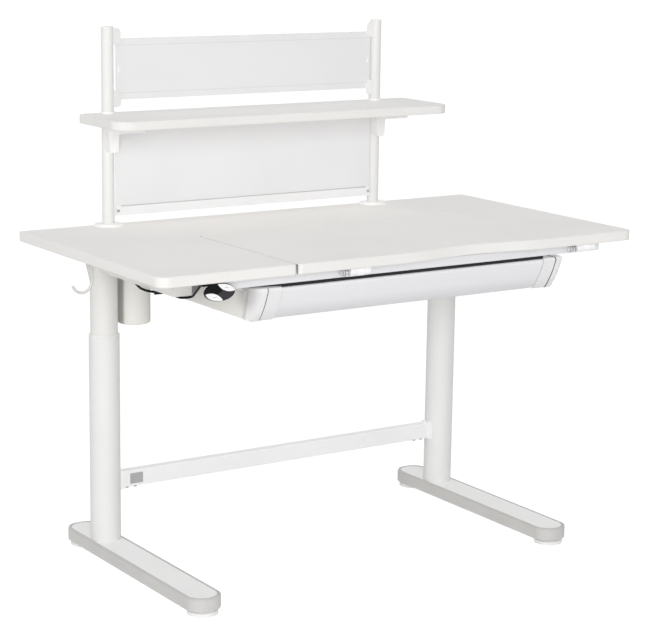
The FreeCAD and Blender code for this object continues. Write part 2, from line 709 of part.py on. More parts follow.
def case_outline(side, inset, z):
    """Two circles, round the gears, joined by their outer tangents."""
    x, mx = side * LEG_SPAN / 2, motor_x(side)
    big, small = CASE_R - inset, MOTOR_R - inset
    lean = math.acos((big - small) / MOTOR_OFFSET)

    def point(cx, radius, angle):
        return Vector(cx - side * radius * math.cos(angle), LEG_Y + radius * math.sin(angle), z)

    big_arc = Part.Arc(point(x, big, lean), point(x, big, math.pi), point(x, big, -lean))
    small_arc = Part.Arc(point(mx, small, -lean), point(mx, small, 0), point(mx, small, lean))
    lines = [Part.LineSegment(point(x, big, -lean), point(mx, small, -lean)),
             Part.LineSegment(point(mx, small, lean), point(x, big, lean))]
    edges = [big_arc, lines[0], small_arc, lines[1]]
    return Part.Face(Part.Wire([edge.toShape() for edge in edges]))


def case_block(side, inset, z):
    """The gear case's outline as a block between two heights."""
    return case_outline(side, inset, z[0]).extrude(Vector(0, 0, z[1] - z[0]))


def gear_case(side):
    """The cast case that joins column, motor and channel, open towards the channel's web."""
    top = UNDER_Z - CHANNEL_SHEET
    floor = CASE_BOTTOM + CASE_FLOOR
    shell = case_block(side, 0, (CASE_BOTTOM, top)).cut(case_block(side, CASE_WALL, (floor, top)))
    bores = [upright(SPINDLE_R + RUN_FIT, side * LEG_SPAN / 2, LEG_Y, (CASE_BOTTOM, floor)),
             upright(MOTOR_SHAFT_R + RUN_FIT, motor_x(side), LEG_Y, (CASE_BOTTOM, floor))]
    return cut_all(shell, bores)


# Under-top frame

def channel(side):
    """The folded channel under the top, shallow behind the column; the right one reaches on to the front beam."""
    x = side * LEG_SPAN / 2
    half = CHANNEL_WIDTH / 2

    def trough(y, low):
        outer = box((x - half, x + half), y, (low, UNDER_Z))
        inside = half - CHANNEL_SHEET
        inner_y = (y[0] + CHANNEL_SHEET, y[1] - CHANNEL_SHEET)
        return outer.cut(box((x - inside, x + inside), inner_y, (low, UNDER_Z - CHANNEL_SHEET)))

    rear = (CHANNEL_Y[1] - CHANNEL_SHEET, LEG_Y + CHANNEL_BACK)
    parts = [trough(CHANNEL_Y, CHANNEL_BOTTOM), trough(rear, CASE_BOTTOM)]
    if side > 0:
        parts.append(trough((BEAM_BACK_Y, CHANNEL_Y[0] + CHANNEL_SHEET), BEAM_BOTTOM))
    column = upright(INNER_R + SEAT_GAP, x, LEG_Y, (CHANNEL_BOTTOM, CASE_BOTTOM))
    motor = upright(MOTOR_R + SEAT_GAP, motor_x(side), LEG_Y, (CHANNEL_BOTTOM, CASE_BOTTOM))
    case = case_block(side, -SEAT_GAP, (CASE_BOTTOM, UNDER_Z - CHANNEL_SHEET))
    return cut_all(fuse(parts), [column, motor, case])


def front_beam():
    """The tube along the front that the hinges sit on, with a pad up to the fixed side section."""
    tube = box(BEAM_X, (BEAM_FRONT_Y, BEAM_BACK_Y), (BEAM_BOTTOM, BEAM_TOP))
    hollow = box((BEAM_X[0] + BEAM_WALL, BEAM_X[1] - BEAM_WALL),
                 (BEAM_FRONT_Y + BEAM_WALL, BEAM_BACK_Y - BEAM_WALL),
                 (BEAM_BOTTOM + BEAM_WALL, BEAM_TOP - BEAM_WALL))
    pad_x = (BEAM_X[0], BEAM_X[0] + PAD_LENGTH)
    pad = box(pad_x, (BEAM_FRONT_Y + BEAM_WALL, BEAM_BACK_Y), (BEAM_TOP - BEAM_WALL, UNDER_Z))
    shell = fuse([tube.cut(hollow), pad])
    return cut_all(shell, hinge_screws())


def mid_beam():
    """The beam under the joint of strip and board; the board's back edge rests on its ledge."""
    x = (-CHANNEL_INSIDE_X, CHANNEL_INSIDE_X)
    body = box(x, MID_BEAM_Y, (UNDER_Z - MID_BEAM_HEIGHT, UNDER_Z))
    hollow = box((x[0] + BEAM_WALL, x[1] - BEAM_WALL), (MID_BEAM_Y[0] + BEAM_WALL, MID_BEAM_Y[1] - BEAM_WALL),
                 (UNDER_Z - MID_BEAM_HEIGHT + BEAM_WALL, UNDER_Z - BEAM_WALL))
    ledge = box(x, (MID_BEAM_Y[0], STRIP_FRONT_Y), (UNDER_Z - LEDGE_GAP, UNDER_Z))
    return body.cut(hollow).cut(ledge)


def fixed_top():
    """The L-shaped board: the left section and the strip along the back."""
    side_x = LEFT_X + SIDE_WIDTH
    corners = [(LEFT_X, FRONT_Y, TOP_CORNER), (side_x, FRONT_Y, GAP_CORNER),
               (side_x, STRIP_FRONT_Y, SMALL_CORNER), (RIGHT_X, STRIP_FRONT_Y, SMALL_CORNER),
               (RIGHT_X, BACK_Y, SMALL_CORNER), (LEFT_X, BACK_Y, SMALL_CORNER)]
    board = slab(corners, (UNDER_Z, TOP_HEIGHT))
    board = soften(board, BOARD_EDGE, (UNDER_Z, TOP_HEIGHT))
    return cut_all(board, hook_screws())


# Tilting board, hinges and prop

def belly_edges(z):
    """The front edge of the tilting board: a shallow hollow for the body, of four equal tangent arcs."""
    middle = (BOARD_LEFT_X + RIGHT_X) / 2 + BELLY_OFFSET
    quarter, half_drop = BELLY_WIDTH / 4, BELLY_DEPTH / 2
    radius = (quarter ** 2 + half_drop ** 2) / (2 * half_drop)
    sag = radius - math.sqrt(radius ** 2 - (quarter / 2) ** 2)

    def at(x, y):
        return Vector(middle + x, FRONT_Y + y, z)

    left = Part.Arc(at(-2 * quarter, 0), at(-1.5 * quarter, sag), at(-quarter, half_drop))
    hollow = Part.Arc(at(-quarter, half_drop), at(0, BELLY_DEPTH), at(quarter, half_drop))
    right = Part.Arc(at(quarter, half_drop), at(1.5 * quarter, sag), at(2 * quarter, 0))
    return [left, hollow, right]


def tilt_board():
    """The board in the notch of the top, hinged along its front edge."""
    x, y = (BOARD_LEFT_X, RIGHT_X), (FRONT_Y, BOARD_BACK_Y)
    near = 1 - math.sqrt(0.5)

    def corner(cx, cy, radius, into_x, into_y, along_x_last):
        on_x = Vector(cx + into_x * radius, cy, UNDER_Z)
        on_y = Vector(cx, cy + into_y * radius, UNDER_Z)
        middle = Vector(cx + into_x * radius * near, cy + into_y * radius * near, UNDER_Z)
        return Part.Arc(on_y, middle, on_x) if along_x_last else Part.Arc(on_x, middle, on_y)

    pieces = [corner(x[0], y[0], GAP_CORNER, 1, 1, True)] + belly_edges(UNDER_Z)
    pieces += [corner(x[1], y[0], TOP_CORNER, -1, 1, False), corner(x[1], y[1], SMALL_CORNER, -1, -1, True),
               corner(x[0], y[1], SMALL_CORNER, 1, -1, False)]
    edges = []
    for piece, follower in zip(pieces, pieces[1:] + pieces[:1]):
        edges.append(piece.toShape())
        if (follower.StartPoint - piece.EndPoint).Length > 1e-6:
            edges.append(Part.LineSegment(piece.EndPoint, follower.StartPoint).toShape())
    board = Part.Face(Part.Wire(edges)).extrude(Vector(0, 0, TOP_THICK))
    return soften(board, BOARD_EDGE, (UNDER_Z, TOP_HEIGHT))


def knuckle_spans(x):
    """The lower leaf's knuckle in the middle of the hinge, and the upper leaf's two beside it."""
    low = x + (HINGE_LENGTH - HINGE_KNUCKLE) / 2
    high = low + HINGE_KNUCKLE
    return {"lower": [(low, high)], "upper": [(x, low - HINGE_GAP), (high + HINGE_GAP, x + HINGE_LENGTH)]}


def hinge_bore(x, fit):
    """The hole for the hinge pin along the whole hinge."""
    return rod(HINGE_PIN_R + fit, (x - 1, HINGE_Y, HINGE_Z), (x + HINGE_LENGTH + 1, HINGE_Y, HINGE_Z))


def hinge_screws():
    """Two screws through each lower leaf into the front beam."""
    face, z = BEAM_FRONT_Y - HINGE_LEAF + HINGE_GAP, BEAM_BOTTOM + HINGE_SCREW_LIFT
    places = [x + end for x in HINGE_X for end in (HINGE_SCREW_IN, HINGE_LENGTH - HINGE_SCREW_IN)]
    return [screw((x, face, z), (0, 1, 0), SCREW_LENGTH, HINGE_SCREW_HEAD_R) for x in places]


def hinge_lower(x):
    """The leaf on the beam's front face and its knuckle."""
    leaf_front = BEAM_FRONT_Y - HINGE_LEAF + HINGE_GAP
    leaf = box((x, x + HINGE_LENGTH), (leaf_front, BEAM_FRONT_Y), (BEAM_BOTTOM, HINGE_Z))
    parts = [leaf]
    for span in knuckle_spans(x)["lower"]:
        parts.append(rod(HINGE_LOWER_R, (span[0], HINGE_Y, HINGE_Z), (span[1], HINGE_Y, HINGE_Z)))
        parts.append(box(span, (HINGE_Y, BEAM_FRONT_Y), (HINGE_Z - HINGE_LOWER_R, HINGE_Z)))
    whole = fuse(parts)
    room = [rod(HINGE_R + HINGE_GAP, (span[0], HINGE_Y, HINGE_Z), (span[1], HINGE_Y, HINGE_Z))
            for span in knuckle_spans(x)["upper"]]
    return cut_all(whole, room + [hinge_bore(x, 0)] + hinge_screws())


def hinge_upper(x):
    """The leaf under the board and its two knuckles."""
    leaf_y = (HINGE_Y - HINGE_R, HINGE_Y + HINGE_LEAF_DEPTH)
    leaf = box((x, x + HINGE_LENGTH), leaf_y, (UNDER_Z - HINGE_LEAF, UNDER_Z))
    parts = [leaf]
    for span in knuckle_spans(x)["upper"]:
        parts.append(rod(HINGE_R, (span[0], HINGE_Y, HINGE_Z), (span[1], HINGE_Y, HINGE_Z)))
        parts.append(box(span, (HINGE_Y - HINGE_R, HINGE_Y), (HINGE_Z, UNDER_Z)))
    return fuse(parts).cut(hinge_bore(x, RUN_FIT))


def hinge_pin(x):
    """The pin, with a hexagon head, a neck and two washers at its left end."""
    def along(radius, start, end):
        return rod(radius, (x - start, HINGE_Y, HINGE_Z), (x - end, HINGE_Y, HINGE_Z))

    nut_end = HINGE_HEAD - HINGE_NUT
    points = [Vector(x - HINGE_HEAD, HINGE_Y + HINGE_HEAD_R * math.cos(math.pi * i / 3),
                     HINGE_Z + HINGE_HEAD_R * math.sin(math.pi * i / 3)) for i in range(7)]
    head = Part.Face(Part.makePolygon(points)).extrude(Vector(HINGE_NUT, 0, 0))
    washers = [along(HINGE_WASHER_R, end, end - HINGE_WASHER) for end in (nut_end, HINGE_WASHER + CLEAR)]
    shafts = [along(HINGE_PIN_R, HINGE_HEAD, -HINGE_LENGTH), along(HINGE_NECK_R, nut_end, CLEAR)]
    return fuse(shafts + [head] + washers)


def prop_rail(x):
    """A slotted plate from beam to beam; the prop's rod slides in it, over a row of notches."""
    plate = box((x, x + RAIL_PLATE), (BEAM_BACK_Y, MID_BEAM_Y[0]), (BEAM_BOTTOM, BEAM_TOP))
    radius = PROP_ROD_R + RAIL_SLOT_FIT
    ends = (PROP_FOOT_MIN_Y - CLEAR, PROP_FOOT_Y + CLEAR)
    slot = [rod(radius, (x, y, HINGE_Z), (x + RAIL_PLATE, y, HINGE_Z)) for y in ends]
    slot.append(box((x, x + RAIL_PLATE), ends, (HINGE_Z - radius, HINGE_Z + radius)))
    step = (PROP_FOOT_Y - PROP_FOOT_MIN_Y) / NOTCH_COUNT
    for i in range(NOTCH_COUNT):
        y = PROP_FOOT_MIN_Y + step * i
        z = HINGE_Z - radius
        slot.append(rod(NOTCH_R, (x, y, z), (x + RAIL_PLATE, y, z)))
    return cut_all(plate, slot)


def prop_frame():
    """Two arms joined by the rod whose ends slide in the rails."""
    rod_x = (PROP_X[0] - SIDE_GAP, PROP_X[1] + RAIL_PLATE + SIDE_GAP + PROP_THICK)
    parts = [rod(PROP_ROD_R, (rod_x[0], PROP_FOOT_Y, HINGE_Z), (rod_x[1], PROP_FOOT_Y, HINGE_Z))]
    bores = []
    for x in PROP_X:
        span = (x + RAIL_PLATE + SIDE_GAP, x + RAIL_PLATE + SIDE_GAP + PROP_THICK)
        z = (HINGE_Z - PROP_HALF_HEIGHT, HINGE_Z + PROP_HALF_HEIGHT)
        parts.append(box(span, (PROP_PIVOT_Y, PROP_FOOT_Y), z))
        for y in (PROP_PIVOT_Y, PROP_FOOT_Y):
            parts.append(rod(PROP_HALF_HEIGHT, (span[0], y, HINGE_Z), (span[1], y, HINGE_Z)))
        bores.append(rod(PROP_ROD_R + RUN_FIT, (span[0], PROP_PIVOT_Y, HINGE_Z), (span[1], PROP_PIVOT_Y, HINGE_Z)))
    return cut_all(fuse(parts), bores)


def prop_clevis(x):
    """The cheek under the board, with the pin that an arm turns on."""
    arm = (x + RAIL_PLATE + SIDE_GAP, x + RAIL_PLATE + SIDE_GAP + PROP_THICK)
    cheek_x = (arm[1] + HINGE_GAP, arm[1] + HINGE_GAP + CLEVIS_THICK)
    half = CLEVIS_LENGTH / 2
    cheek = box(cheek_x, (PROP_PIVOT_Y - half, PROP_PIVOT_Y + half), (HINGE_Z - PROP_HALF_HEIGHT, UNDER_Z))
    return fuse([cheek, rod(PROP_ROD_R, (arm[0], PROP_PIVOT_Y, HINGE_Z), (cheek_x[1], PROP_PIVOT_Y, HINGE_Z))])


# Drawer

def front_profile(x, inset, rear):
    """The drawer front's section: a bulged face that sweeps back towards the bottom."""
    face, foot = FRONT_FACE_Y + inset, FRONT_FOOT_Y + inset
    high, low = FRONT_TOP - inset, FRONT_BOTTOM + inset

    def at(y, z):
        return Vector(x, y, z)

    sweep = Part.Arc(at(face, high), at((face + foot) / 2 - FRONT_BULGE, (high + low) / 2), at(foot, low))
    rest = Part.makePolygon([at(foot, low), at(rear, low), at(rear, high), at(face, high)])
    return Part.Face(Part.Wire([sweep.toShape()] + rest.Edges))


def front_block(x, inset):
    """The drawer front's section drawn out between two places along the front, in either order."""
    low, high = sorted(x)
    block = front_profile(low, inset, TRAY_FRONT_Y + FRONT_WALL).extrude(Vector(high - low, 0, 0))
    crown = [e for e in level_edges(block, (FRONT_TOP - inset,)) if e.BoundBox.YMax < FRONT_FACE_Y + inset + 1e-4]
    block = block.makeFillet(FRONT_LIP, crown)
    foot = [e for e in level_edges(block, (FRONT_BOTTOM + inset,)) if e.BoundBox.YMax < FRONT_FOOT_Y + inset + 1e-4]
    return block.makeFillet(FRONT_FOOT_ROUND, foot)


def cap_end(outer, inner, corner):
    """The outermost piece of the drawer front: a large round down its outer corner, then cut off at the back."""
    low, high = sorted((outer, inner))
    rear, deep = TRAY_FRONT_Y + FRONT_WALL, FRONT_FOOT_Y + 2 * corner
    block = front_profile(low, 0, deep).extrude(Vector(high - low, 0, 0))
    rim = [e for e in block.Edges if abs(e.BoundBox.XMin - outer) + abs(e.BoundBox.XMax - outer) < 1e-4
           and e.BoundBox.YMax < TRAY_FRONT_Y]
    block = block.makeFillet(corner, rim)
    def round_over(solid, height, radius):
        edges = [e for e in level_edges(solid, (height,)) if e.BoundBox.YMin < TRAY_FRONT_Y
                 and abs(e.BoundBox.XMin - inner) + abs(e.BoundBox.XMax - inner) > 1e-4]
        return solid.makeFillet(radius, edges)

    block = round_over(round_over(block, FRONT_TOP, FRONT_LIP), FRONT_BOTTOM, FRONT_FOOT_ROUND)
    return block.cut(box((low, high), (rear, deep), (FRONT_BOTTOM, FRONT_TOP)))


def drawer_front():
    """The long moulding between the end caps, open at the back where the tray stands in it."""
    x = (DRAWER_X[0] + LEFT_CAP_WIDTH + CAP_JOINT, DRAWER_X[1] - RIGHT_CAP_WIDTH - CAP_JOINT)
    shell = front_block(x, FRONT_STEP).cut(front_block(x, FRONT_STEP + FRONT_SHEET))
    return shell.cut(box(x, (TRAY_FRONT_Y, TRAY_FRONT_Y + FRONT_WALL), (FRONT_BOTTOM, FRONT_TOP)))


def drawer_cap(left):
    """An end of the drawer front: a round-cornered end piece, a groove, and a collar a step lower."""
    way = 1 if left else -1
    width, groove_in = (LEFT_CAP_WIDTH, LEFT_GROOVE_IN) if left else (RIGHT_CAP_WIDTH, RIGHT_GROOVE_IN)
    overhang, corner = (LEFT_CAP_OVERHANG, LEFT_CAP_ROUND) if left else (RIGHT_CAP_OVERHANG, RIGHT_CAP_ROUND)
    outer = DRAWER_X[0] if left else DRAWER_X[1]
    inner = outer + way * width
    end = cap_end(outer, outer + way * groove_in, corner)
    collar = front_block((outer + way * (groove_in + CAP_GROOVE), inner), COLLAR_STEP)
    core = front_block((outer + way * corner, inner), COLLAR_STEP + CAP_GROOVE_DEPTH)
    hollow = front_block((outer + way * (overhang + corner), inner), FRONT_STEP + FRONT_SHEET)
    behind = box(sorted((outer + way * overhang, inner)), (TRAY_FRONT_Y, TRAY_FRONT_Y + FRONT_WALL),
                 (FRONT_BOTTOM, FRONT_TOP))
    cap = cut_all(fuse([end, core, collar]), [hollow, behind])
    return fuse([cap.cut(flare_room()), cap_flare()]) if left else cap


def flare_wire(z, start, end):
    """What is cleared beside the drawer's left wall at one height: an arc in from the rim, tangent to the wall."""
    rim, wall = DRAWER_X[0], TRAY_X[0] - SEAT_GAP
    depth, run = wall - rim, end - start
    radius = (run ** 2 + depth ** 2) / (2 * depth)
    half = math.asin(run / radius) / 2
    middle = Vector(wall - radius * (1 - math.cos(half)), end - radius * math.sin(half), z)
    curve = Part.Arc(Vector(rim, start, z), middle, Vector(wall, end, z)).toShape()
    back = TRAY_FRONT_Y + FRONT_DEPTH
    outside = rim - LEFT_CAP_OVERHANG
    rest = Part.makePolygon([Vector(*p, z) for p in
                             ((wall, end), (wall, back), (outside, back), (outside, start), (rim, start))])
    return Part.Wire([curve] + rest.Edges)


def flare_room():
    """The hollow beside the drawer's left wall, which draws the cap's end in to the wall."""
    high_start, low_start = FRONT_FACE_Y + LEFT_CAP_ROUND, FRONT_FOOT_Y
    high = flare_wire(FRONT_TOP, high_start, high_start + FLARE_HIGH_LENGTH)
    low = flare_wire(FRONT_BOTTOM, low_start, low_start + FLARE_LOW_LENGTH)
    return Part.makeLoft([low, high], True, True)


def cap_flare():
    """The curve that leads the left cap back into the tray's side wall."""
    y = (TRAY_FRONT_Y + FRONT_WALL - CLEAR, FRONT_FOOT_Y + FLARE_LOW_LENGTH)
    z = (TRAY_BOTTOM, TRAY_TOP - RUNNER_THICK - DRAWER_RAIL_FIT - DRAWER_RAIL_SHEET - CLEAR)
    return box((DRAWER_X[0], TRAY_X[0] - SEAT_GAP), y, z).cut(flare_room())


def drawer_tray():
    """The tray behind the front, with the runner flanges along its side walls."""
    y = TRAY_Y
    pan = box(TRAY_X, y, (TRAY_BOTTOM, TRAY_TOP))
    room = box((TRAY_X[0] + TRAY_WALL, TRAY_X[1] - TRAY_WALL), (y[0] + TRAY_WALL, y[1] - TRAY_WALL),
               (TRAY_BOTTOM + TRAY_WALL, TRAY_TOP))
    runner_z = (TRAY_TOP - RUNNER_THICK, TRAY_TOP)
    runner_y = (y[0] + FRONT_WALL + CLEAR, y[1])
    runners = [box((TRAY_X[0] - RUNNER_WIDTH, TRAY_X[0]), runner_y, runner_z),
               box((TRAY_X[1], TRAY_X[1] + RUNNER_WIDTH), runner_y, runner_z)]
    return fuse([pan.cut(room)] + runners)


def drawer_rail(left):
    """A C-rail round one runner, hung between the front beam and the mid beam."""
    runner_edge = TRAY_X[0] - RUNNER_WIDTH if left else TRAY_X[1] + RUNNER_WIDTH
    way = -1 if left else 1
    sheet, fit = DRAWER_RAIL_SHEET, DRAWER_RAIL_FIT
    web_x = sorted((runner_edge + way * fit, runner_edge + way * (fit + sheet)))
    lip_x = sorted((runner_edge - way * (RUNNER_WIDTH - DRAWER_LIP_CLEAR), runner_edge + way * (fit + sheet)))
    y = (TRAY_FRONT_Y + FRONT_WALL + SIDE_GAP, MID_BEAM_Y[0])
    low, high = TRAY_TOP - RUNNER_THICK - fit - sheet, TRAY_TOP + fit + sheet
    parts = [box(web_x, y, (low, BEAM_TOP)), box(lip_x, y, (low, low + sheet)), box(lip_x, y, (high - sheet, high)),
             box(web_x, (BEAM_BACK_Y, y[1]), (FRONT_TOP + SIDE_GAP, BEAM_TOP))]
    return fuse(parts)


# Hand controller, lead, control box and hook

def oval(inset, y):
    """The outline of the controller's face, drawn in by inset."""
    ring = Part.Ellipse(Vector(0, 0, 0), POD_WIDTH / 2 - inset, POD_HEIGHT / 2 - inset).toShape()
    ring.rotate(Vector(0, 0, 0), Vector(1, 0, 0), 90)
    ring.translate(Vector(POD_X, y, POD_Z))
    return Part.Wire(ring)


def oval_plate(inset, y):
    """The oval drawn out between two depths."""
    return Part.Face(oval(inset, y[0])).extrude(Vector(0, y[1] - y[0], 0))


def leaf(way, grow, y):
    """A button's outline: the oval where a large disc overlaps its upper right, or lower left, part."""
    x, z = POD_X + way * BUTTON_CENTRE_X, POD_Z + way * BUTTON_CENTRE_Z
    disc = rod(BUTTON_RADIUS + grow, (x, y[0], z), (x, y[1], z))
    return oval_plate(BUTTON_INSET - grow, y).common(disc)


def stem(way, radius, y):
    """The round stem behind a button."""
    x, z = POD_X + way * BUTTON_STEM_X, POD_Z + way * BUTTON_STEM_Z
    return rod(radius, (x, y[0], z), (x, y[1], z))


def handset_pod():
    """The oval body, tapered to the back, with a pocket and a switch for each button, and its mount."""
    y = (POD_Y, POD_Y + POD_DEPTH)
    face = oval_plate(0, (y[0], y[0] + POD_RIM))
    face = face.makeFillet(POD_EDGE, [e for e in face.Edges if abs(e.BoundBox.YMax - y[0]) < 1e-4])
    body = Part.makeLoft([oval(0, y[0] + POD_RIM), oval(POD_TAPER, y[1])], True)
    mount = box((POD_X - POD_MOUNT_LEFT, POD_X + POD_MOUNT_RIGHT), (y[0] + POD_MOUNT_SETBACK, y[1]),
                (UNDER_Z - POD_MOUNT, UNDER_Z))
    tools = []
    for way in (-1, 1):
        tools.append(leaf(way, BUTTON_FIT, (y[0] - BUTTON_PROUD, y[0] + BUTTON_DEPTH)))
        depth = BUTTON_DEPTH + BUTTON_SWITCH + BUTTON_STEM
        tools.append(stem(way, BUTTON_STEM_R + RUN_FIT, (y[0], y[0] + depth)))
    return cut_all(fuse([face, body, mount]), tools)


def button(way):
    """A button that stands proud of the controller and runs in its pocket on a stem."""
    cap = leaf(way, 0, (POD_Y - BUTTON_PROUD, POD_Y + BUTTON_DEPTH - BUTTON_SWITCH))
    return fuse([cap, stem(way, BUTTON_STEM_R, (POD_Y, POD_Y + BUTTON_DEPTH + BUTTON_STEM))])


def lead_tube():
    """The lead as straight runs and tangent arcs, each arc as large as its two runs allow."""
    points = [Vector(*p) for p in LEAD_ROUTE]
    edges, radii = [], []
    start = points[0]
    for before, here, after in zip(points, points[1:], points[2:]):
        back, on = before - here, after - here
        half = back.getAngle(on) / 2
        reach = 0.45 * min(back.Length, on.Length)
        back, on = back.normalize(), on.normalize()
        radius = reach * math.tan(half)
        first, last = here + back * reach, here + on * reach
        middle = here + (back + on).normalize() * (radius / math.sin(half) - radius)
        edges.append(Part.LineSegment(start, first).toShape())
        edges.append(Part.Arc(first, middle, last).toShape())
        radii.append(radius)
        start = last
    edges.append(Part.LineSegment(start, points[-1]).toShape())
    path = Part.Wire(edges)
    ring = Part.Wire(Part.makeCircle(LEAD_R, points[0], points[1] - points[0]))
    tube = path.makePipeShell([ring], True, False)
    whole = math.pi * LEAD_R ** 2 * path.Length
    print(f"lead: length {path.Length:.0f}, least radius {min(radii):.1f}, volume ratio {tube.Volume / whole:.4f}")
    return tube


def clip_block(run, share, room, top):
    """A saddle that holds the lead part of the way along one of its runs, up to the face that it is fixed to."""
    before, after = Vector(*LEAD_ROUTE[run]), Vector(*LEAD_ROUTE[run + 1])
    here = before + (after - before) * share
    block = box(*room(here), (here.z - LEAD_R - CLIP_WALL, top))
    return block.cut(rod(LEAD_R + SEAT_GAP, before, after))


def lead_clips():
    """Two saddles under the channel's walls and one under the mid beam."""
    side = LEAD_R + CLIP_WALL

    def outer_wall(here):
        return (CHANNEL_EDGE_X, here.x + 2 * side), (here.y - CLIP_HALF, here.y + CLIP_HALF)

    def inner_wall(here):
        return (here.x - side, CHANNEL_EDGE_X + CHANNEL_WIDTH), (here.y - CLIP_HALF, here.y + CLIP_HALF)

    def beam(here):
        return (here.x - CLIP_HALF, here.x + CLIP_HALF), (here.y - side, here.y + side)

    return [clip_block(4, 0.52, outer_wall, CHANNEL_BOTTOM), clip_block(8, 0.4, inner_wall, CHANNEL_BOTTOM),
            clip_block(10, 0.5, beam, UNDER_Z - MID_BEAM_HEIGHT)]


def cable_duct():
    """A dark duct along the inner side of the left channel, open below along a slant."""
    x = CHANNEL_EDGE_X + CHANNEL_WIDTH + SEAT_GAP
    y = (CHANNEL_Y[0] + DUCT_SETBACK, MID_BEAM_Y[0] - DUCT_REAR_CLEAR)
    low = UNDER_Z - DUCT_HEIGHT
    section = [(x, low), (x + DUCT_WIDTH, low + DUCT_SLANT), (x + DUCT_WIDTH, UNDER_Z), (x, UNDER_Z), (x, low)]
    outline = Part.makePolygon([Vector(across, y[0], up) for across, up in section])
    outer = Part.Face(outline).extrude(Vector(0, y[1] - y[0], 0))
    room = box((x + DUCT_WALL, x + DUCT_WIDTH - DUCT_WALL), (y[0] + DUCT_WALL, y[1] - DUCT_WALL),
               (low, UNDER_Z - DUCT_WALL))
    return outer.cut(room)


def inlet_middle():
    """Where the mains inlet stands along the control box."""
    return BOX_X[1] - BOX_LENGTH / 4


def inlet_box(grow):
    """The mains inlet's place in the back of the control box."""
    z = UNDER_Z - BOX_HEIGHT / 2
    half, high = INLET_WIDTH / 2 + grow, INLET_HEIGHT / 2 + grow
    x = (inlet_middle() - half, inlet_middle() + half)
    return box(x, (BOX_Y[1] - INLET_DEPTH - grow, BOX_Y[1]), (z - high, z + high))


def control_box():
    """The box under the strip that the leads come together in, with the mains inlet in its back."""
    body = slab(rectangle(BOX_X, BOX_Y, BOX_EDGE), (UNDER_Z - BOX_HEIGHT, UNDER_Z))
    return soften(body, BOX_EDGE / 2, (UNDER_Z - BOX_HEIGHT,)).cut(inlet_box(0))


def power_inlet():
    """The three-pin inlet: a cup with three blades on its floor."""
    cup = inlet_box(0).cut(inlet_box(-INLET_WALL).translated(Vector(0, INLET_WALL, 0)))
    middle, z = inlet_middle(), UNDER_Z - BOX_HEIGHT / 2
    floor = BOX_Y[1] - INLET_DEPTH
    blades = []
    for way, rise in ((-1, -2.0), (0, 2.5), (1, -2.0)):
        x = middle + way * INLET_WIDTH / 4
        blades.append(box((x - 1, x + 1), (floor, floor + INLET_BLADE), (z + rise - 2.5, z + rise + 2.5)))
    return fuse([cup] + blades)


def hook_screws():
    """Two screws from below through the hook's plate into the board."""
    z = UNDER_Z - HOOK_PLATE
    return [screw((HOOK_X, HOOK_Y + s * HOOK_PLATE_LENGTH * 0.34, z), (0, 0, 1), HOOK_PLATE + SCREW_LENGTH)
            for s in (-1, 1)]


def hook():
    """A J of round wire that opens outwards, with a flat web up to its plate under the board."""
    half_x, half_y = HOOK_PLATE_WIDTH / 2, HOOK_PLATE_LENGTH / 2
    plate = slab(rectangle((HOOK_X - half_x, HOOK_X + half_x), (HOOK_Y - half_y, HOOK_Y + half_y), half_x / 2),
                 (UNDER_Z - HOOK_PLATE, UNDER_Z))
    top, bend_z = UNDER_Z - HOOK_PLATE, UNDER_Z - HOOK_DROP
    wire = HOOK_WIRE_R
    web = plate_xz([(HOOK_X - wire, top - HOOK_WEB_HEIGHT, 0), (HOOK_X + wire, top - HOOK_WEB_HEIGHT, 0),
                    (HOOK_X + wire, top, 0), (HOOK_X - HOOK_WEB_LEFT, top, 0)],
                   (HOOK_Y - HOOK_WEB_THICK / 2, HOOK_Y + HOOK_WEB_THICK / 2))
    centre = HOOK_X - HOOK_BEND
    shank = rod(wire, (HOOK_X, HOOK_Y, bend_z), (HOOK_X, HOOK_Y, top + HOOK_PLATE / 2))
    ring = Part.makeTorus(HOOK_BEND, wire, Vector(centre, HOOK_Y, bend_z), Vector(0, 1, 0))
    y, low = (HOOK_Y - HOOK_BEND, HOOK_Y + HOOK_BEND), bend_z - 2 * HOOK_BEND
    kept = fuse([box((centre, centre + 2 * HOOK_BEND), y, (low, bend_z)),
                 box((centre - 2 * HOOK_BEND, centre), y, (low, bend_z - HOOK_TIP_DROP))])
    tip_x = centre - math.sqrt(HOOK_BEND ** 2 - HOOK_TIP_DROP ** 2)
    ball = Part.makeSphere(wire, Vector(tip_x, HOOK_Y, bend_z - HOOK_TIP_DROP))
    return cut_all(fuse([plate, web, shank, ring.common(kept), ball]), hook_screws())


# Hutch

def post(i):
    """A round tube, closed and rounded at the top."""
    solid = soften(upright(POST_R, POST_X[i], POST_Y, (TOP_HEIGHT, POST_TOP)), POST_EDGE, (POST_TOP,))
    return solid.cut(upright(POST_R - POST_WALL, POST_X[i], POST_Y, (TOP_HEIGHT, POST_TOP - POST_WALL)))


def post_flange(i):
    """The foot of a post: a low cone on the top, trimmed flush with the top's back edge."""
    cone = Part.makeCone(FLANGE_R, FLANGE_TOP_R, FLANGE_THICK, Vector(POST_X[i], POST_Y, TOP_HEIGHT))
    behind = box((POST_X[i] - FLANGE_R, POST_X[i] + FLANGE_R), (BACK_Y, BACK_Y + FLANGE_R),
                 (TOP_HEIGHT, TOP_HEIGHT + FLANGE_THICK))
    return cone.cut(behind).cut(upright(POST_R, POST_X[i], POST_Y, (TOP_HEIGHT, TOP_HEIGHT + FLANGE_THICK)))


def shelf_collar(i):
    """The ring round a post where it comes through the shelf."""
    ring = upright(COLLAR_R, POST_X[i], POST_Y, (SHELF_TOP, SHELF_TOP + COLLAR_HEIGHT))
    ring = soften(ring, TUBE_EDGE, (SHELF_TOP + COLLAR_HEIGHT,))
    return ring.cut(upright(POST_R, POST_X[i], POST_Y, (SHELF_TOP, SHELF_TOP + COLLAR_HEIGHT)))


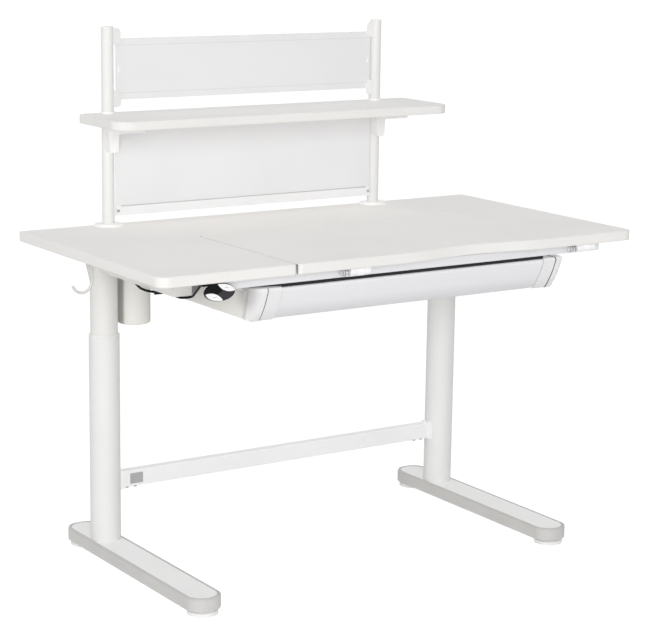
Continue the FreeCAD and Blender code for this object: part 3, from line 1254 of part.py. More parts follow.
def shelf():
    """The shelf board, with a hole for each post."""
    x = (POST_X[0] - SHELF_LEFT, POST_X[1] + SHELF_RIGHT)
    corners = [(x[0], SHELF_Y[0], SHELF_CORNER), (x[1], SHELF_Y[0], SHELF_CORNER),
               (x[1], SHELF_Y[1], SHELF_BACK_CORNER), (x[0], SHELF_Y[1], SHELF_BACK_CORNER)]
    board = soften(slab(corners, (SHELF_BOTTOM, SHELF_TOP)), BOARD_EDGE, (SHELF_BOTTOM, SHELF_TOP))
    return cut_all(board, [upright(POST_R + SEAT_GAP, x, POST_Y, (SHELF_BOTTOM, SHELF_TOP)) for x in POST_X])


def shelf_bracket(i):
    """A block on the front of a post, and an angled arm under the shelf."""
    x, front = POST_X[i], POST_Y - BRACKET_REACH
    low = SHELF_BOTTOM - BRACKET_HEIGHT
    wide, narrow = BRACKET_HALF_WIDTH, BRACKET_HALF_WIDTH - BRACKET_TAPER
    corner = BRACKET_CORNER
    outline = [(x - narrow, low, corner), (x + narrow, low, corner),
               (x + wide, SHELF_BOTTOM, 0), (x - wide, SHELF_BOTTOM, 0)]
    block = plate_xz(outline, (front, POST_Y))
    arm_x = (x - wide, x + BRACKET_ARM)
    plate = box(arm_x, (front, front + BRACKET_PLATE_DEPTH), (SHELF_BOTTOM - BRACKET_PLATE, SHELF_BOTTOM))
    lip = box(arm_x, (front, front + BRACKET_LIP_THICK), (SHELF_BOTTOM - BRACKET_LIP, SHELF_BOTTOM))
    return fuse([block, plate, lip]).cut(upright(POST_R, x, POST_Y, (low, SHELF_BOTTOM)))


def ear_places():
    """The post, the inward way and the height of each ear: two rise over the panel and two hang under it."""
    heights = (UPPER_PANEL_TOP + EAR_RISE - EAR_HEIGHT, UPPER_PANEL_BOTTOM - EAR_HANG)
    return [(i, way, z) for i, way in ((0, 1), (1, -1)) for z in heights]


def panel_ear(i, way, z):
    """A rounded ear from the post over the panel's corner."""
    inner = (UPPER_X[0] if way > 0 else UPPER_X[1]) + way * EAR_OVERLAP
    x = sorted((POST_X[i], inner))
    left_r, right_r = (0, EAR_OVERLAP) if way > 0 else (EAR_OVERLAP, 0)
    high = z + EAR_HEIGHT
    outline = [(x[0], z, left_r), (x[1], z, right_r), (x[1], high, right_r), (x[0], high, left_r)]
    plate = plate_xz(outline, (PANEL_FACE_Y - EAR_THICK, PANEL_FACE_Y))
    return plate.cut(upright(POST_R, POST_X[i], POST_Y, (z, high)))


def upper_panel():
    """A sheet folded back along its top and bottom, with a sunk field and a slot near each end."""
    y = (PANEL_FACE_Y, PANEL_FACE_Y + PANEL_FOLD)
    z = (UPPER_PANEL_BOTTOM, UPPER_PANEL_TOP)
    body = box(UPPER_X, y, z)
    back = box(UPPER_X, (y[0] + PANEL_SHEET + BAND_STEP, y[1]), (z[0] + PANEL_SHEET, z[1] - PANEL_SHEET))
    field = box(UPPER_X, (y[0], y[0] + BAND_STEP), (z[0] + UPPER_BAND_BOTTOM, z[1] - UPPER_BAND_TOP))
    middle, half, high = (z[0] + z[1]) / 2, PANEL_SLOT / 2, PANEL_SLOT_LENGTH / 2
    slots = []
    for x in (UPPER_X[0] + PANEL_SLOT_INSET, UPPER_X[1] - PANEL_SLOT_INSET):
        outline = rectangle((x - half, x + half), (middle - high, middle + high), half - SEAT_GAP)
        slots.append(plate_xz(outline, (y[0], y[0] + PANEL_FOLD / 2)))
    return cut_all(body, [back, field] + slots)


def rail_screws():
    """A screw near each end of the lower rail."""
    z = (LOWER_RAIL_Z[0] + LOWER_RAIL_Z[1]) / 2
    face = PANEL_FACE_Y - RAIL_THICK / 2
    places = (LOWER_X[0] + RAIL_SCREW_IN, LOWER_X[1] - RAIL_SCREW_IN)
    return [screw((x, face, z), (0, 1, 0), RAIL_THICK / 3) for x in places]


def lower_rail():
    """The rail that the lower panel stands in, pegged to the posts at both ends."""
    y = (PANEL_FACE_Y - RAIL_THICK / 2, PANEL_FACE_Y + RAIL_THICK / 2)
    body = box(LOWER_X, y, LOWER_RAIL_Z)
    groove = box(LOWER_X, (PANEL_FACE_Y - SEAT_GAP, PANEL_FACE_Y + PANEL_SHEET + SEAT_GAP),
                 (LOWER_RAIL_Z[0] + RAIL_THICK, LOWER_RAIL_Z[1]))
    peg_z = LOWER_RAIL_Z[0] + RAIL_THICK / 2
    ends = ((LOWER_X[0] + RAIL_THICK, POST_X[0]), (LOWER_X[1] - RAIL_THICK, POST_X[1]))
    pegs = [rod(RAIL_PEG_R, (a, PANEL_FACE_Y, peg_z), (b, PANEL_FACE_Y, peg_z)) for a, b in ends]
    room = [upright(POST_R, x, POST_Y, LOWER_RAIL_Z) for x in POST_X]
    return cut_all(fuse([body.cut(groove)] + pegs), room + rail_screws())


def lower_panel():
    """The plain sheet between the rail and the shelf."""
    return box(LOWER_X, (PANEL_FACE_Y, PANEL_FACE_Y + PANEL_SHEET),
               (LOWER_RAIL_Z[0] + RAIL_THICK + SEAT_GAP, SHELF_BOTTOM - CLEAR))


# Stretcher

def stretcher_span():
    """The stretcher's ends, one saddle's thickness off the columns."""
    reach = LEG_SPAN / 2 - COLUMN_R - SADDLE_THICK
    return (-reach, reach)


def stretcher_bolts():
    """Two bolts from below through the stretcher's floor into the plug at each end."""
    low, span = STRETCHER_TOP - STRETCHER_HEIGHT, stretcher_span()
    reach = STRETCHER_WALL + PLUG_BOLT_REACH
    steps = (PLUG_BOLT_IN, PLUG_BOLT_IN + PLUG_BOLT_PITCH)
    places = [span[0] + step for step in steps] + [span[1] - step for step in steps]
    return [screw((x, LEG_Y, low), (0, 0, 1), reach, PLUG_BOLT_HEAD_R, PLUG_BOLT_HEAD, PLUG_BOLT_R) for x in places]


def stretcher():
    """The rectangular tube between the columns."""
    half, wall, span = STRETCHER_DEPTH / 2, STRETCHER_WALL, stretcher_span()
    low = STRETCHER_TOP - STRETCHER_HEIGHT
    outer = box(span, (LEG_Y - half, LEG_Y + half), (low, STRETCHER_TOP))
    outer = outer.makeFillet(wall, [e for e in outer.Edges if e.BoundBox.XLength > STRETCHER_HEIGHT])
    inner = box(span, (LEG_Y - half + wall, LEG_Y + half - wall), (low + wall, STRETCHER_TOP - wall))
    return cut_all(outer.cut(inner), stretcher_bolts())


def saddle(side):
    """The end fitting: a plate hollowed to the column, and a plug in the stretcher's end."""
    end = stretcher_span()[1] if side > 0 else stretcher_span()[0]
    half, margin = STRETCHER_DEPTH / 2, SADDLE_MARGIN
    z = (STRETCHER_TOP - STRETCHER_HEIGHT, STRETCHER_TOP)
    plate = box(sorted((end, side * LEG_SPAN / 2)), (LEG_Y - half - margin, LEG_Y + half + margin),
                (z[0] - margin, z[1] + margin))
    inset = STRETCHER_WALL + SEAT_GAP
    plug = box(sorted((end, end - side * PLUG_LENGTH)), (LEG_Y - half + inset, LEG_Y + half - inset),
               (z[0] + inset, z[1] - inset))
    room = upright(COLUMN_R, side * LEG_SPAN / 2, LEG_Y, (z[0] - margin, z[1] + margin))
    return cut_all(fuse([plate, plug]).cut(room), stretcher_bolts())


def group(shapes):
    """Several solids of one node."""
    return Part.makeCompound([solid for shape in shapes for solid in shape.Solids])


def build():
    """Every node of the desk by name."""
    nodes = {}
    sides = LEG_SIDES.values()
    for name, side in LEG_SIDES.items():
        nodes[f"foot_trim_{name}"] = foot_trim(side)
        nodes[f"foot_plate_{name}"] = foot_plate(side)
        nodes[f"outer_tube_{name}"] = outer_tube(side)
        nodes[f"inner_tube_{name}"] = inner_tube(side)
        nodes[f"spindle_{name}"] = spindle(side)
        nodes[f"rotor_{name}"] = rotor(side)
        nodes[f"gear_case_{name}"] = gear_case(side)
        nodes[f"motor_housing_{name}"] = motor_housing(side)
        nodes[f"channel_{name}"] = channel(side)
        for end in ("front", "rear"):
            nodes[f"glide_{end}_{name}"] = glide(side, end)
    nodes["guide_sleeves"] = group([guide_sleeve(s) for s in sides])
    nodes["lower_sliders"] = group([lower_slider(s) for s in sides])
    nodes["nut_tubes"] = group([nut_tube(s) for s in sides])
    nodes["spindle_nuts"] = group([spindle_nut(s) for s in sides])
    nodes["stators"] = group([stator(s) for s in sides])
    nodes["stretcher"] = stretcher()
    nodes["stretcher_saddles"] = group([saddle(s) for s in sides])
    nodes["base_bolts"] = group([b for s in sides for b in column_bolts(s)] + stretcher_bolts())
    nodes["front_beam"] = front_beam()
    nodes["mid_beam"] = mid_beam()
    nodes["fixed_top"] = fixed_top()
    nodes["tilt_board"] = tilt_board()
    nodes["hinge_lower_leaves"] = group([hinge_lower(x) for x in HINGE_X])
    nodes["hinge_upper_leaves"] = group([hinge_upper(x) for x in HINGE_X])
    nodes["hinge_pins"] = group([hinge_pin(x) for x in HINGE_X])
    nodes["prop_rails"] = group([prop_rail(x) for x in PROP_X])
    nodes["prop_frame"] = prop_frame()
    nodes["prop_clevises"] = group([prop_clevis(x) for x in PROP_X])
    nodes["drawer_tray"] = drawer_tray()
    nodes["drawer_front"] = drawer_front()
    nodes["drawer_caps"] = group([drawer_cap(left) for left in (True, False)])
    nodes["drawer_rails"] = group([drawer_rail(left) for left in (True, False)])
    nodes["handset_pod"] = handset_pod()
    nodes["button_down"] = button(-1)
    nodes["button_up"] = button(1)
    nodes["handset_lead"] = lead_tube()
    nodes["lead_clips"] = group(lead_clips() + [cable_duct()])
    nodes["control_box"] = control_box()
    nodes["power_inlet"] = power_inlet()
    nodes["hook"] = hook()
    nodes["posts"] = group([post(i) for i in (0, 1)])
    nodes["post_rings"] = group([ring(i) for ring in (post_flange, shelf_collar) for i in (0, 1)])
    nodes["shelf"] = shelf()
    ears = [panel_ear(*place) for place in ear_places()]
    nodes["hutch_brackets"] = group([shelf_bracket(i) for i in (0, 1)] + ears)
    nodes["upper_panel"] = upper_panel()
    nodes["lower_panel"] = lower_panel()
    nodes["lower_rail"] = lower_rail()
    nodes["small_screws"] = group(hook_screws() + hinge_screws() + rail_screws())
    return nodes


os.makedirs("parts", exist_ok=True)
for node_name, node_shape in build().items():
    export(node_name, node_shape)
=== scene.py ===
import math
from collections import namedtuple

import bpy
import numpy as np
from mathutils import Matrix, Vector


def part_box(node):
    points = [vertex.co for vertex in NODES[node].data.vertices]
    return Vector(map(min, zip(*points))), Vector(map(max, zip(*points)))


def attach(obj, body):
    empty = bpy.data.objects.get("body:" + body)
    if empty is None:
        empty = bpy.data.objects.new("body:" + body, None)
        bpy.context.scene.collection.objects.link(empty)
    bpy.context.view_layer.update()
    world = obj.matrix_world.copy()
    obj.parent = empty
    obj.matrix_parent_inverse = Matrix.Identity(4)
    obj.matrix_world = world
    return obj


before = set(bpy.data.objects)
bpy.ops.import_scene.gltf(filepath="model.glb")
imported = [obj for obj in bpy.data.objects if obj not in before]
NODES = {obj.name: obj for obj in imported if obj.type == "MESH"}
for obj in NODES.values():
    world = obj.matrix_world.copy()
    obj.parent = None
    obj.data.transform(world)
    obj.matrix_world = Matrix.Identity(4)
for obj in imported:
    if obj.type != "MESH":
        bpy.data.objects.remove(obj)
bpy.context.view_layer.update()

# The dressing of an electric standing desk: finishes for every solid, thin trim, studio and camera.
# Metres, in the same frame as the solids.

FULL_TURN = 2 * math.pi
WHITE = (1, 1, 1, 1)

Sides = namedtuple("Sides", "left front bottom right back top")


def sides(box):
    """The six sides of a box, from its lowest and its highest corner."""
    low, high = box
    return Sides(*low, *high)


BOARD = sides(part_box("fixed_top"))
SHELF = sides(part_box("shelf"))
CAPS = sides(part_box("drawer_caps"))
FRONT = sides(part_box("drawer_front"))
BEAM = sides(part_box("front_beam"))
RAIL = sides(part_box("lower_rail"))


# Node trees

def tone(red, green, blue):
    """A display colour, 0 to 255, as the linear colour that a shader takes, by the sRGB curve."""
    parts = np.array([red, green, blue]) / 255.0
    linear = np.where(parts <= 0.04045, parts / 12.92, ((parts + 0.055) / 1.055) ** 2.4)
    return (*linear.tolist(), 1.0)


class Level:
    """One socket of a node tree. Arithmetic on it adds Math nodes, with plain numbers on either side."""

    def __init__(self, tree, socket):
        self.tree = tree
        self.socket = socket

    def math(self, operation, *terms):
        return self.tree.node("Math", {"operation": operation}, dict(enumerate(terms)))

    def __add__(self, other):
        return self.math("ADD", self, other)

    def __radd__(self, other):
        return self.math("ADD", other, self)

    def __sub__(self, other):
        return self.math("SUBTRACT", self, other)

    def __rsub__(self, other):
        return self.math("SUBTRACT", other, self)

    def __mul__(self, other):
        return self.math("MULTIPLY", self, other)

    def __rmul__(self, other):
        return self.math("MULTIPLY", other, self)

    def __truediv__(self, other):
        return self.math("DIVIDE", self, other)

    def __abs__(self):
        return self.math("ABSOLUTE", self)

    def fraction(self):
        return self.math("FRACT", self)

    def root(self):
        return self.math("SQRT", self)

    def sine(self):
        return self.math("SINE", self)

    def angle(self, other):
        """The angle whose tangent is this over the other, all the way round."""
        return self.math("ARCTAN2", self, other)

    def least(self, other):
        return self.math("MINIMUM", self, other)

    def most(self, other):
        return self.math("MAXIMUM", self, other)

    def ramp(self, low, high):
        """0 at low, 1 at high, smooth between them."""
        settings = {"interpolation_type": "SMOOTHSTEP"}
        return self.tree.node("MapRange", settings, {"Value": self, "From Min": low, "From Max": high})

    def near(self, middle, half, soft):
        """1 within half of middle, falling to 0 over soft."""
        return 1 - abs(self - middle).ramp(half, half + soft)


class NodeTree:
    """The nodes of a material or of the world, every one of them made by one method."""

    def __init__(self, owner):
        owner.use_nodes = True
        self.graph = owner.node_tree
        self.graph.nodes.clear()

    def node(self, kind, settings=None, sockets=None, output=0):
        """A node of that kind: its settings are set first, then its sockets. One of its outputs comes back."""
        node = self.graph.nodes.new("ShaderNode" + kind)
        for key, value in (settings or {}).items():
            setattr(node, key, value)
        for key, value in (sockets or {}).items():
            self.feed(node.inputs[key], value)
        return Level(self, node.outputs[output]) if node.outputs else None

    def feed(self, socket, value):
        """Links a level to a socket, or sets a plain value on it."""
        if isinstance(value, Level):
            self.graph.links.new(value.socket, socket)
        else:
            socket.default_value = value


class Finish(NodeTree):
    """A material in the making, with one Principled shader."""

    def __init__(self, name):
        self.material = bpy.data.materials.new(name)
        super().__init__(self.material)
        shaded = self.node("BsdfPrincipled")
        self.shader = shaded.socket.node
        self.node("OutputMaterial", None, {"Surface": shaded})
        self.place = self.node("TexCoord", output="Object")

    def set(self, **inputs):
        """Feeds the shader's own sockets; an underscore in a name stands for a space."""
        for key, value in inputs.items():
            self.feed(self.shader.inputs[key.replace("_", " ")], value)

    def axes(self):
        """The point's x, y and z."""
        node = self.node("SeparateXYZ", None, {0: self.place}).socket.node
        return [Level(self, socket) for socket in node.outputs]

    def turns(self, axis):
        """How many turns round an upright axis the point is; the axis is given for the right and mirrored left."""
        x, y, _ = self.axes()
        return (y - axis[1]).angle(abs(x) - axis[0]) / FULL_TURN

    def noise(self, cells, detail=2.0, stretch=None):
        """Cloudy noise, that many cells to a metre, drawn out along an axis by stretch."""
        place = self.place
        if stretch:
            place = self.node("Mapping", None, {"Vector": place, "Scale": stretch})
        return self.node("TexNoise", None, {"Vector": place, "Scale": cells, "Detail": detail})

    def blend(self, first, second, factor):
        """A colour between two, by factor."""
        return self.node("Mix", {"data_type": "RGBA"}, {0: factor, 6: first, 7: second}, output=2)

    def overlay(self, colour, mask):
        """Draws what feeds the base colour towards another colour, by mask."""
        below = self.shader.inputs["Base Color"].links[0].from_socket
        self.set(Base_Color=self.blend(Level(self, below), colour, mask))

    def bump(self, height, depth, strength):
        """Relief on the surface, that deep in metres."""
        sockets = {"Height": height, "Distance": depth, "Strength": strength}
        self.set(Normal=self.node("Bump", None, sockets))


# Kinds of finish

# A small scale along an axis draws the noise out into streaks along it
ALONG_X, ALONG_Y, ALONG_Z = (0.1, 1, 1), (1, 0.1, 1), (1, 1, 0.1)
TURNED = (1, 1, 0.05)
# From a board's faces to the hairline of its edge strip
EDGE_ROUND = 0.0016


def laminate(name, light, dark, board):
    """Matt laminate on board: slow drift of tone, a pearl grain, and the hairlines where the edge strip meets."""
    finish = Finish(name)
    drift = finish.noise(cells=4.0, detail=3.0)
    pearl = finish.noise(cells=900.0, detail=3.0)
    colour = finish.blend(dark, light, (0.7 * drift + 0.3 * pearl).ramp(0.3, 0.68))
    z = finish.axes()[2]
    heights = (board.bottom + EDGE_ROUND, board.top - EDGE_ROUND)
    seam = sum(z.near(height, half=0.00012, soft=0.0001) for height in heights)
    finish.set(Base_Color=finish.blend(colour, tone(196, 194, 189), seam * 0.5),
               Roughness=0.56 + 0.10 * pearl + 0.05 * drift, Specular_IOR_Level=0.14)
    finish.bump(pearl - seam * 0.6, depth=0.00004, strength=0.5)
    return finish.material


def coated(name, light, dark, depth=0.00007, rough=0.42):
    """Powder-coated steel: an orange-peel ripple under a fine grain."""
    finish = Finish(name)
    drift = finish.noise(cells=5.0)
    peel = finish.noise(cells=260.0)
    grain = finish.noise(cells=1500.0)
    finish.set(Base_Color=finish.blend(dark, light, (0.75 * drift + 0.25 * grain).ramp(0.28, 0.66)),
               Roughness=rough + 0.10 * grain + 0.06 * peel, Specular_IOR_Level=0.25)
    finish.bump(0.6 * peel + 0.4 * grain, depth, strength=0.6)
    return finish


def powder_coat(*look, **more):
    """The plain powder coat, with nothing drawn over it."""
    return coated(*look, **more).material


def moulded(name, light, dark, rough=0.38, depth=0.00003, gloss=0.25, stretch=None):
    """Moulded plastic: faint flow marks and a spark-eroded grain."""
    finish = Finish(name)
    flow = finish.noise(cells=9.0, detail=3.0, stretch=stretch)
    grain = finish.noise(cells=2200.0)
    finish.set(Base_Color=finish.blend(dark, light, (0.8 * flow + 0.2 * grain).ramp(0.3, 0.68)),
               Roughness=rough + 0.10 * grain + 0.05 * flow, Specular_IOR_Level=gloss)
    finish.bump(grain, depth, strength=0.5)
    return finish


def plain_moulding(*look, **more):
    """The plain moulded plastic, with nothing drawn over it."""
    return moulded(*look, **more).material


def drawn_metal(name, light, dark, rough, stretch, metallic=1.0):
    """Drawn or turned metal: fine streaks along one axis and a cloudy plating."""
    finish = Finish(name)
    streak = finish.noise(cells=700.0, detail=3.0, stretch=stretch)
    cloud = finish.noise(cells=30.0, detail=3.0)
    finish.set(Base_Color=finish.blend(dark, light, (0.5 * streak + 0.5 * cloud).ramp(0.3, 0.7)),
               Roughness=rough + 0.14 * streak + 0.06 * cloud, Metallic=metallic)
    finish.bump(streak, depth=0.00003, strength=0.5)
    return finish


def plain_metal(*look, **more):
    """The plain drawn metal, with nothing drawn over it."""
    return drawn_metal(*look, **more).material


def threaded(name, light, dark, axis, pitch, starts):
    """A screw of several starts: a triangle wave of z over the pitch, less the turn times the starts."""
    finish = Finish(name)
    z = finish.axes()[2]
    ridge = abs((z / pitch - finish.turns(axis) * starts).fraction() - 0.5) * 2
    streak = finish.noise(cells=900.0, stretch=ALONG_Z)
    finish.set(Base_Color=finish.blend(dark, light, ridge * 0.7 + streak * 0.3), Metallic=1.0,
               Roughness=0.26 + 0.2 * streak)
    finish.bump(ridge, depth=0.0012, strength=0.8)
    return finish.material


def wound(name, axis, teeth, wires):
    """Stator windings: varnished copper round the ring between iron teeth, with a sine of z for its wires."""
    finish = Finish(name)
    z = finish.axes()[2]
    tooth = abs((finish.turns(axis) * teeth).fraction() - 0.5).ramp(0.16, 0.22)
    finish.set(Base_Color=finish.blend(tone(160, 92, 52), tone(84, 82, 80), tooth), Metallic=1.0,
               Roughness=0.34 + 0.12 * finish.noise(cells=400.0))
    finish.bump((z * wires).sine(), depth=0.0002, strength=0.4)
    return finish.material


# Finishes drawn to the shape of one piece

# The grey of painted shade in the drawer's hollows, on the caps and the tray
HOLLOW_SHADE_GREY = tone(150, 148, 145)
# How far the painted shade at the foot of the drawer's front reaches up, and the upper panel's painted fold shade
# lines lie in from its edges
FOOT_RISE, FOLD_IN = 0.035, 0.014
# From the end of a hinge's leaf out to each line on its pin
PIN_LINES = (0.0176, 0.0122, 0.0040)
HINGE_LENGTH = 0.050
# The controller's grey field lies on this side of its line, to the right and down, and this deep in its face
FIELD_WAY, FIELD_DEPTH = (0.556, 0.83), 0.0015


def pod_finish():
    """The controller's black, with a dark grey field on its face at the lower right of a slanting line."""
    finish = moulded("pod_black", tone(12, 12, 13), tone(8, 8, 9), rough=0.3, depth=0.00001, gloss=0.12)
    buttons = np.array([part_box(name) for name in ("button_up", "button_down")])
    centre_x, _, centre_z = buttons.mean(axis=(0, 1))
    face = sides(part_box("handset_pod")).front
    x, y, z = finish.axes()
    past_line = (x - centre_x) * FIELD_WAY[0] - (z - centre_z) * FIELD_WAY[1]
    field = past_line.ramp(0.0002, 0.0008) * (face + FIELD_DEPTH - y).ramp(0.0, 0.0004)
    grain = finish.noise(cells=1200.0)
    finish.set(Base_Color=finish.blend(tone(10, 10, 11), tone(60, 57, 62), field * (0.9 + 0.1 * grain)))
    return finish.material


def clip_finish():
    """Black clips, and the grey duct on the inner side of the channel."""
    finish = moulded("clip_black", tone(34, 34, 36), tone(27, 27, 29), rough=0.48, depth=0.00012, gloss=0.2)
    inner_side = sides(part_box("channel_left")).right
    beam_foot = sides(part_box("mid_beam")).bottom
    x, _, z = finish.axes()
    grain = finish.noise(cells=900.0)
    duct = (x - inner_side).ramp(-0.0002, 0.0002) * (z - beam_foot).ramp(-0.2, -0.0301)
    finish.set(Base_Color=finish.blend(tone(30, 30, 32), tone(138, 137, 136), duct * (0.94 + 0.06 * grain)))
    return finish.material


def panel_finish():
    """Thin folded steel: the rail brighter, the upper panel greyer, with a line of painted shade where its long
    edges fold back.
    """
    finish = coated("panel_white", tone(234, 234, 235), tone(230, 230, 231), depth=0.00004, rough=0.40)
    panel = sides(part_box("upper_panel"))
    z = finish.axes()[2]
    heights = (panel.bottom + FOLD_IN, panel.top - FOLD_IN)
    painted_fold_shade = sum(z.near(height, half=0.0005, soft=0.0008) for height in heights)
    on_rail = 1 - z.ramp(RAIL.top, RAIL.top + 0.001)
    on_upper = z.ramp(SHELF.bottom, SHELF.top)
    finish.overlay(tone(255, 255, 255), on_rail * 0.32)
    # Painted shade along the folds, laid on together with the upper panel's greyer tone
    finish.overlay(tone(196, 196, 197), painted_fold_shade * 0.3 + on_upper * 0.09)
    return finish.material


def can_finish():
    """The motor cans' warm white, with painted shade where each can faces its column and fainter painted shade on
    the far side.
    """
    finish = coated("can_white", tone(231, 229, 224), tone(227, 225, 220))
    can = sides(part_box("motor_housing_right"))
    out = abs(finish.axes()[0])
    # Painted shade: darker where each can turns towards its column, and faintly on its far side
    column_side_shade = out.ramp(can.right - 0.0048, can.right - 0.0014)
    far_side_shade = 1 - out.ramp(can.left + 0.004, can.left + 0.026)
    finish.overlay(tone(96, 95, 92), column_side_shade * 0.56 + far_side_shade * 0.14)
    return finish.material


def from_edge(finish, foot):
    """How far a point is inside the outline of a foot: a stadium, whose ends are half circles of its width."""
    radius = (foot.right - foot.left) / 2
    straight = (foot.back - foot.front) / 2 - radius
    x, y, _ = finish.axes()
    across = abs(x) - abs(foot.left + foot.right) / 2
    past = (abs(y - (foot.front + foot.back) / 2) - straight).most(0.0)
    return radius - (across * across + past * past).root()


def foot_finish():
    """The foot plate's white, with the shadow line where it drops into the bumper."""
    finish = coated("foot_white", tone(237, 237, 237), tone(233, 233, 233))
    inside = from_edge(finish, sides(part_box("foot_plate_left"))).ramp(0.0006, 0.0030)
    finish.overlay(tone(128, 128, 126), (1 - inside) * 0.55)
    return finish.material


def bumper_finish():
    """The bumper's neutral grey, with painted shade round its top rim."""
    finish = moulded("bumper_grey", tone(206, 205, 203), tone(199, 198, 196), rough=0.44, depth=0.00005)
    top = sides(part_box("foot_trim_left")).top
    # Painted shade, darker towards the top of the rim
    rim_shade = finish.axes()[2].ramp(top - 0.0060, top - 0.0010)
    finish.overlay(tone(150, 149, 148), rim_shade * 0.30)
    return finish.material


def pin_finish():
    """Bright plated hinge pins, with dark lines where the head, the neck and the washers meet."""
    finish = drawn_metal("pin_bright", tone(226, 226, 228), tone(206, 206, 209), 0.30, ALONG_Y, metallic=0.2)
    left_hinge = sides(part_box("hinge_lower_leaves")).left
    right_hinge = sides(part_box("hinge_pins")).right - HINGE_LENGTH
    x = finish.axes()[0]
    place = x - left_hinge - x.ramp(0.0, 0.001) * (right_hinge - left_hinge)
    lines = sum(place.near(-step, half=0.0005, soft=0.0005) for step in PIN_LINES)
    finish.overlay(tone(40, 40, 42), lines.least(1.0) * 0.8)
    return finish.material


def cap_finish():
    """The end caps' white, with painted shade: greyer in the hollow where the left cap's round runs into the
    drawer's side, and a little greyer at the foot.
    """
    finish = moulded("cap_white", tone(235, 234, 235), tone(231, 230, 231), rough=0.34)
    x, _, z = finish.axes()
    # Painted shade on the left cap's turned end and along the foot
    turned = 1 - x.ramp(CAPS.left - 0.004, CAPS.left + 0.024)
    foot = 1 - z.ramp(CAPS.bottom, CAPS.bottom + FOOT_RISE)
    painted_hollow_shade = turned * z.ramp(CAPS.bottom + 0.002, CAPS.top - 0.024)
    finish.overlay(HOLLOW_SHADE_GREY, (painted_hollow_shade * 0.62 + foot * 0.12).least(0.62))
    return finish.material


def tray_finish():
    """The drawer tray's warm white, with painted shade: greyer towards the top under the beam, and towards the
    hollow behind the left cap.
    """
    finish = moulded("tray_white", tone(243, 241, 236), tone(239, 237, 232), rough=0.40, stretch=ALONG_Y)
    tray = sides(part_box("drawer_tray"))
    _, y, z = finish.axes()
    # Painted shade, greyer towards the top and near the left cap
    height = z.ramp(tray.bottom, tray.top)
    near_cap = 1 - y.ramp(tray.front + 0.006, tray.front + 0.055)
    painted_hollow_shade = near_cap * z.ramp(tray.bottom + 0.004, tray.top - 0.012)
    finish.overlay(HOLLOW_SHADE_GREY, (painted_hollow_shade * 0.5 + height * 0.18).least(0.6))
    return finish.material


def front_finish():
    """The long moulding's white, with painted shade a little greyer at the foot, and a fine line where each end
    meets a cap.
    """
    finish = moulded("drawer_white", tone(234, 234, 237), tone(230, 230, 233), rough=0.34, stretch=ALONG_X)
    x, _, z = finish.axes()
    # Painted shade towards the foot; the lines at the ends are the joints with the caps
    foot = 1 - z.ramp(FRONT.bottom, FRONT.bottom + FOOT_RISE)
    ends = sum(x.near(end, half=0.0006, soft=0.0010) for end in (FRONT.left, FRONT.right))
    finish.overlay(tone(150, 150, 154), (foot * 0.22 + ends * 0.4).least(0.5))
    return finish.material


def bracket_finish():
    """The hutch fittings' white: the shelf brackets bright, the upper panel's ears greyer, most at the left."""
    finish = moulded("bracket_white", tone(246, 245, 244), tone(241, 240, 239), rough=0.40)
    x, _, z = finish.axes()
    ear = z.ramp(SHELF.top, SHELF.top + 0.002)
    finish.overlay(tone(190, 190, 190), ear * (0.32 - 0.20 * x.ramp(-0.01, 0.01)))
    return finish.material


# Which finish each solid has

# The right column's upright axes in x and y, and what is wound round them
SPINDLE_AXIS, SPINDLE_PITCH, SPINDLE_STARTS = (0.4565, 0.19), 0.005, 4
MOTOR_AXIS, STATOR_TEETH, STATOR_WIRES = (0.383, 0.19), 12, 5600.0

board_white = laminate("board_white", tone(238, 236, 234), tone(234, 232, 230), BOARD)
shelf_white = laminate("shelf_white", tone(235, 234, 232), tone(231, 230, 228), SHELF)
frame_white = powder_coat("frame_white", tone(229, 228, 226), tone(225, 224, 222))
column_white = powder_coat("column_white", tone(229, 229, 228), tone(225, 225, 224))
beam_white = powder_coat("beam_white", tone(227, 227, 230), tone(223, 223, 226))
post_white = powder_coat("post_white", tone(231, 231, 229), tone(227, 227, 225), rough=0.36)
tube_white = powder_coat("tube_white", tone(241, 241, 243), tone(237, 237, 239))
hook_white = powder_coat("hook_white", tone(214, 213, 210), tone(206, 205, 202))
leaf_white = powder_coat("leaf_white", tone(248, 248, 250), tone(244, 244, 246), rough=0.36)
case_white = powder_coat("case_white", tone(230, 230, 229), tone(224, 224, 223), depth=0.0001, rough=0.5)
rail_white = powder_coat("rail_white", tone(226, 225, 222), tone(219, 218, 215), rough=0.36)
fitting_white = plain_moulding("fitting_white", tone(246, 245, 244), tone(241, 240, 239), rough=0.40)
glide_white = plain_moulding("glide_white", tone(238, 238, 238), tone(233, 233, 233), rough=0.40)
button_white = plain_moulding("button_white", tone(244, 244, 244), tone(240, 240, 240), rough=0.32)
cable_black = plain_moulding("cable_black", tone(11, 11, 12), tone(7, 7, 8), rough=0.52, depth=0.00004, gloss=0.12)
box_black = plain_moulding("box_black", tone(34, 34, 36), tone(27, 27, 29), rough=0.48, depth=0.00012)
guide_cream = plain_moulding("guide_cream", tone(229, 228, 226), tone(223, 222, 219), rough=0.42)
bolt_dark = plain_metal("bolt_dark", tone(84, 84, 86), tone(64, 64, 66), 0.42, ALONG_Z, metallic=0.5)
zinc = plain_metal("zinc", tone(196, 197, 200), tone(168, 170, 174), 0.26, ALONG_Y)
turned_brass = plain_metal("turned_brass", tone(206, 172, 104), tone(176, 140, 78), 0.28, TURNED)
rotor_steel = plain_metal("rotor_steel", tone(150, 150, 152), tone(112, 112, 116), 0.34, TURNED)
screw_steel = threaded("screw_steel", tone(200, 200, 204), tone(140, 140, 146), SPINDLE_AXIS, SPINDLE_PITCH,
                       SPINDLE_STARTS)
copper_iron = wound("copper_iron", MOTOR_AXIS, STATOR_TEETH, STATOR_WIRES)

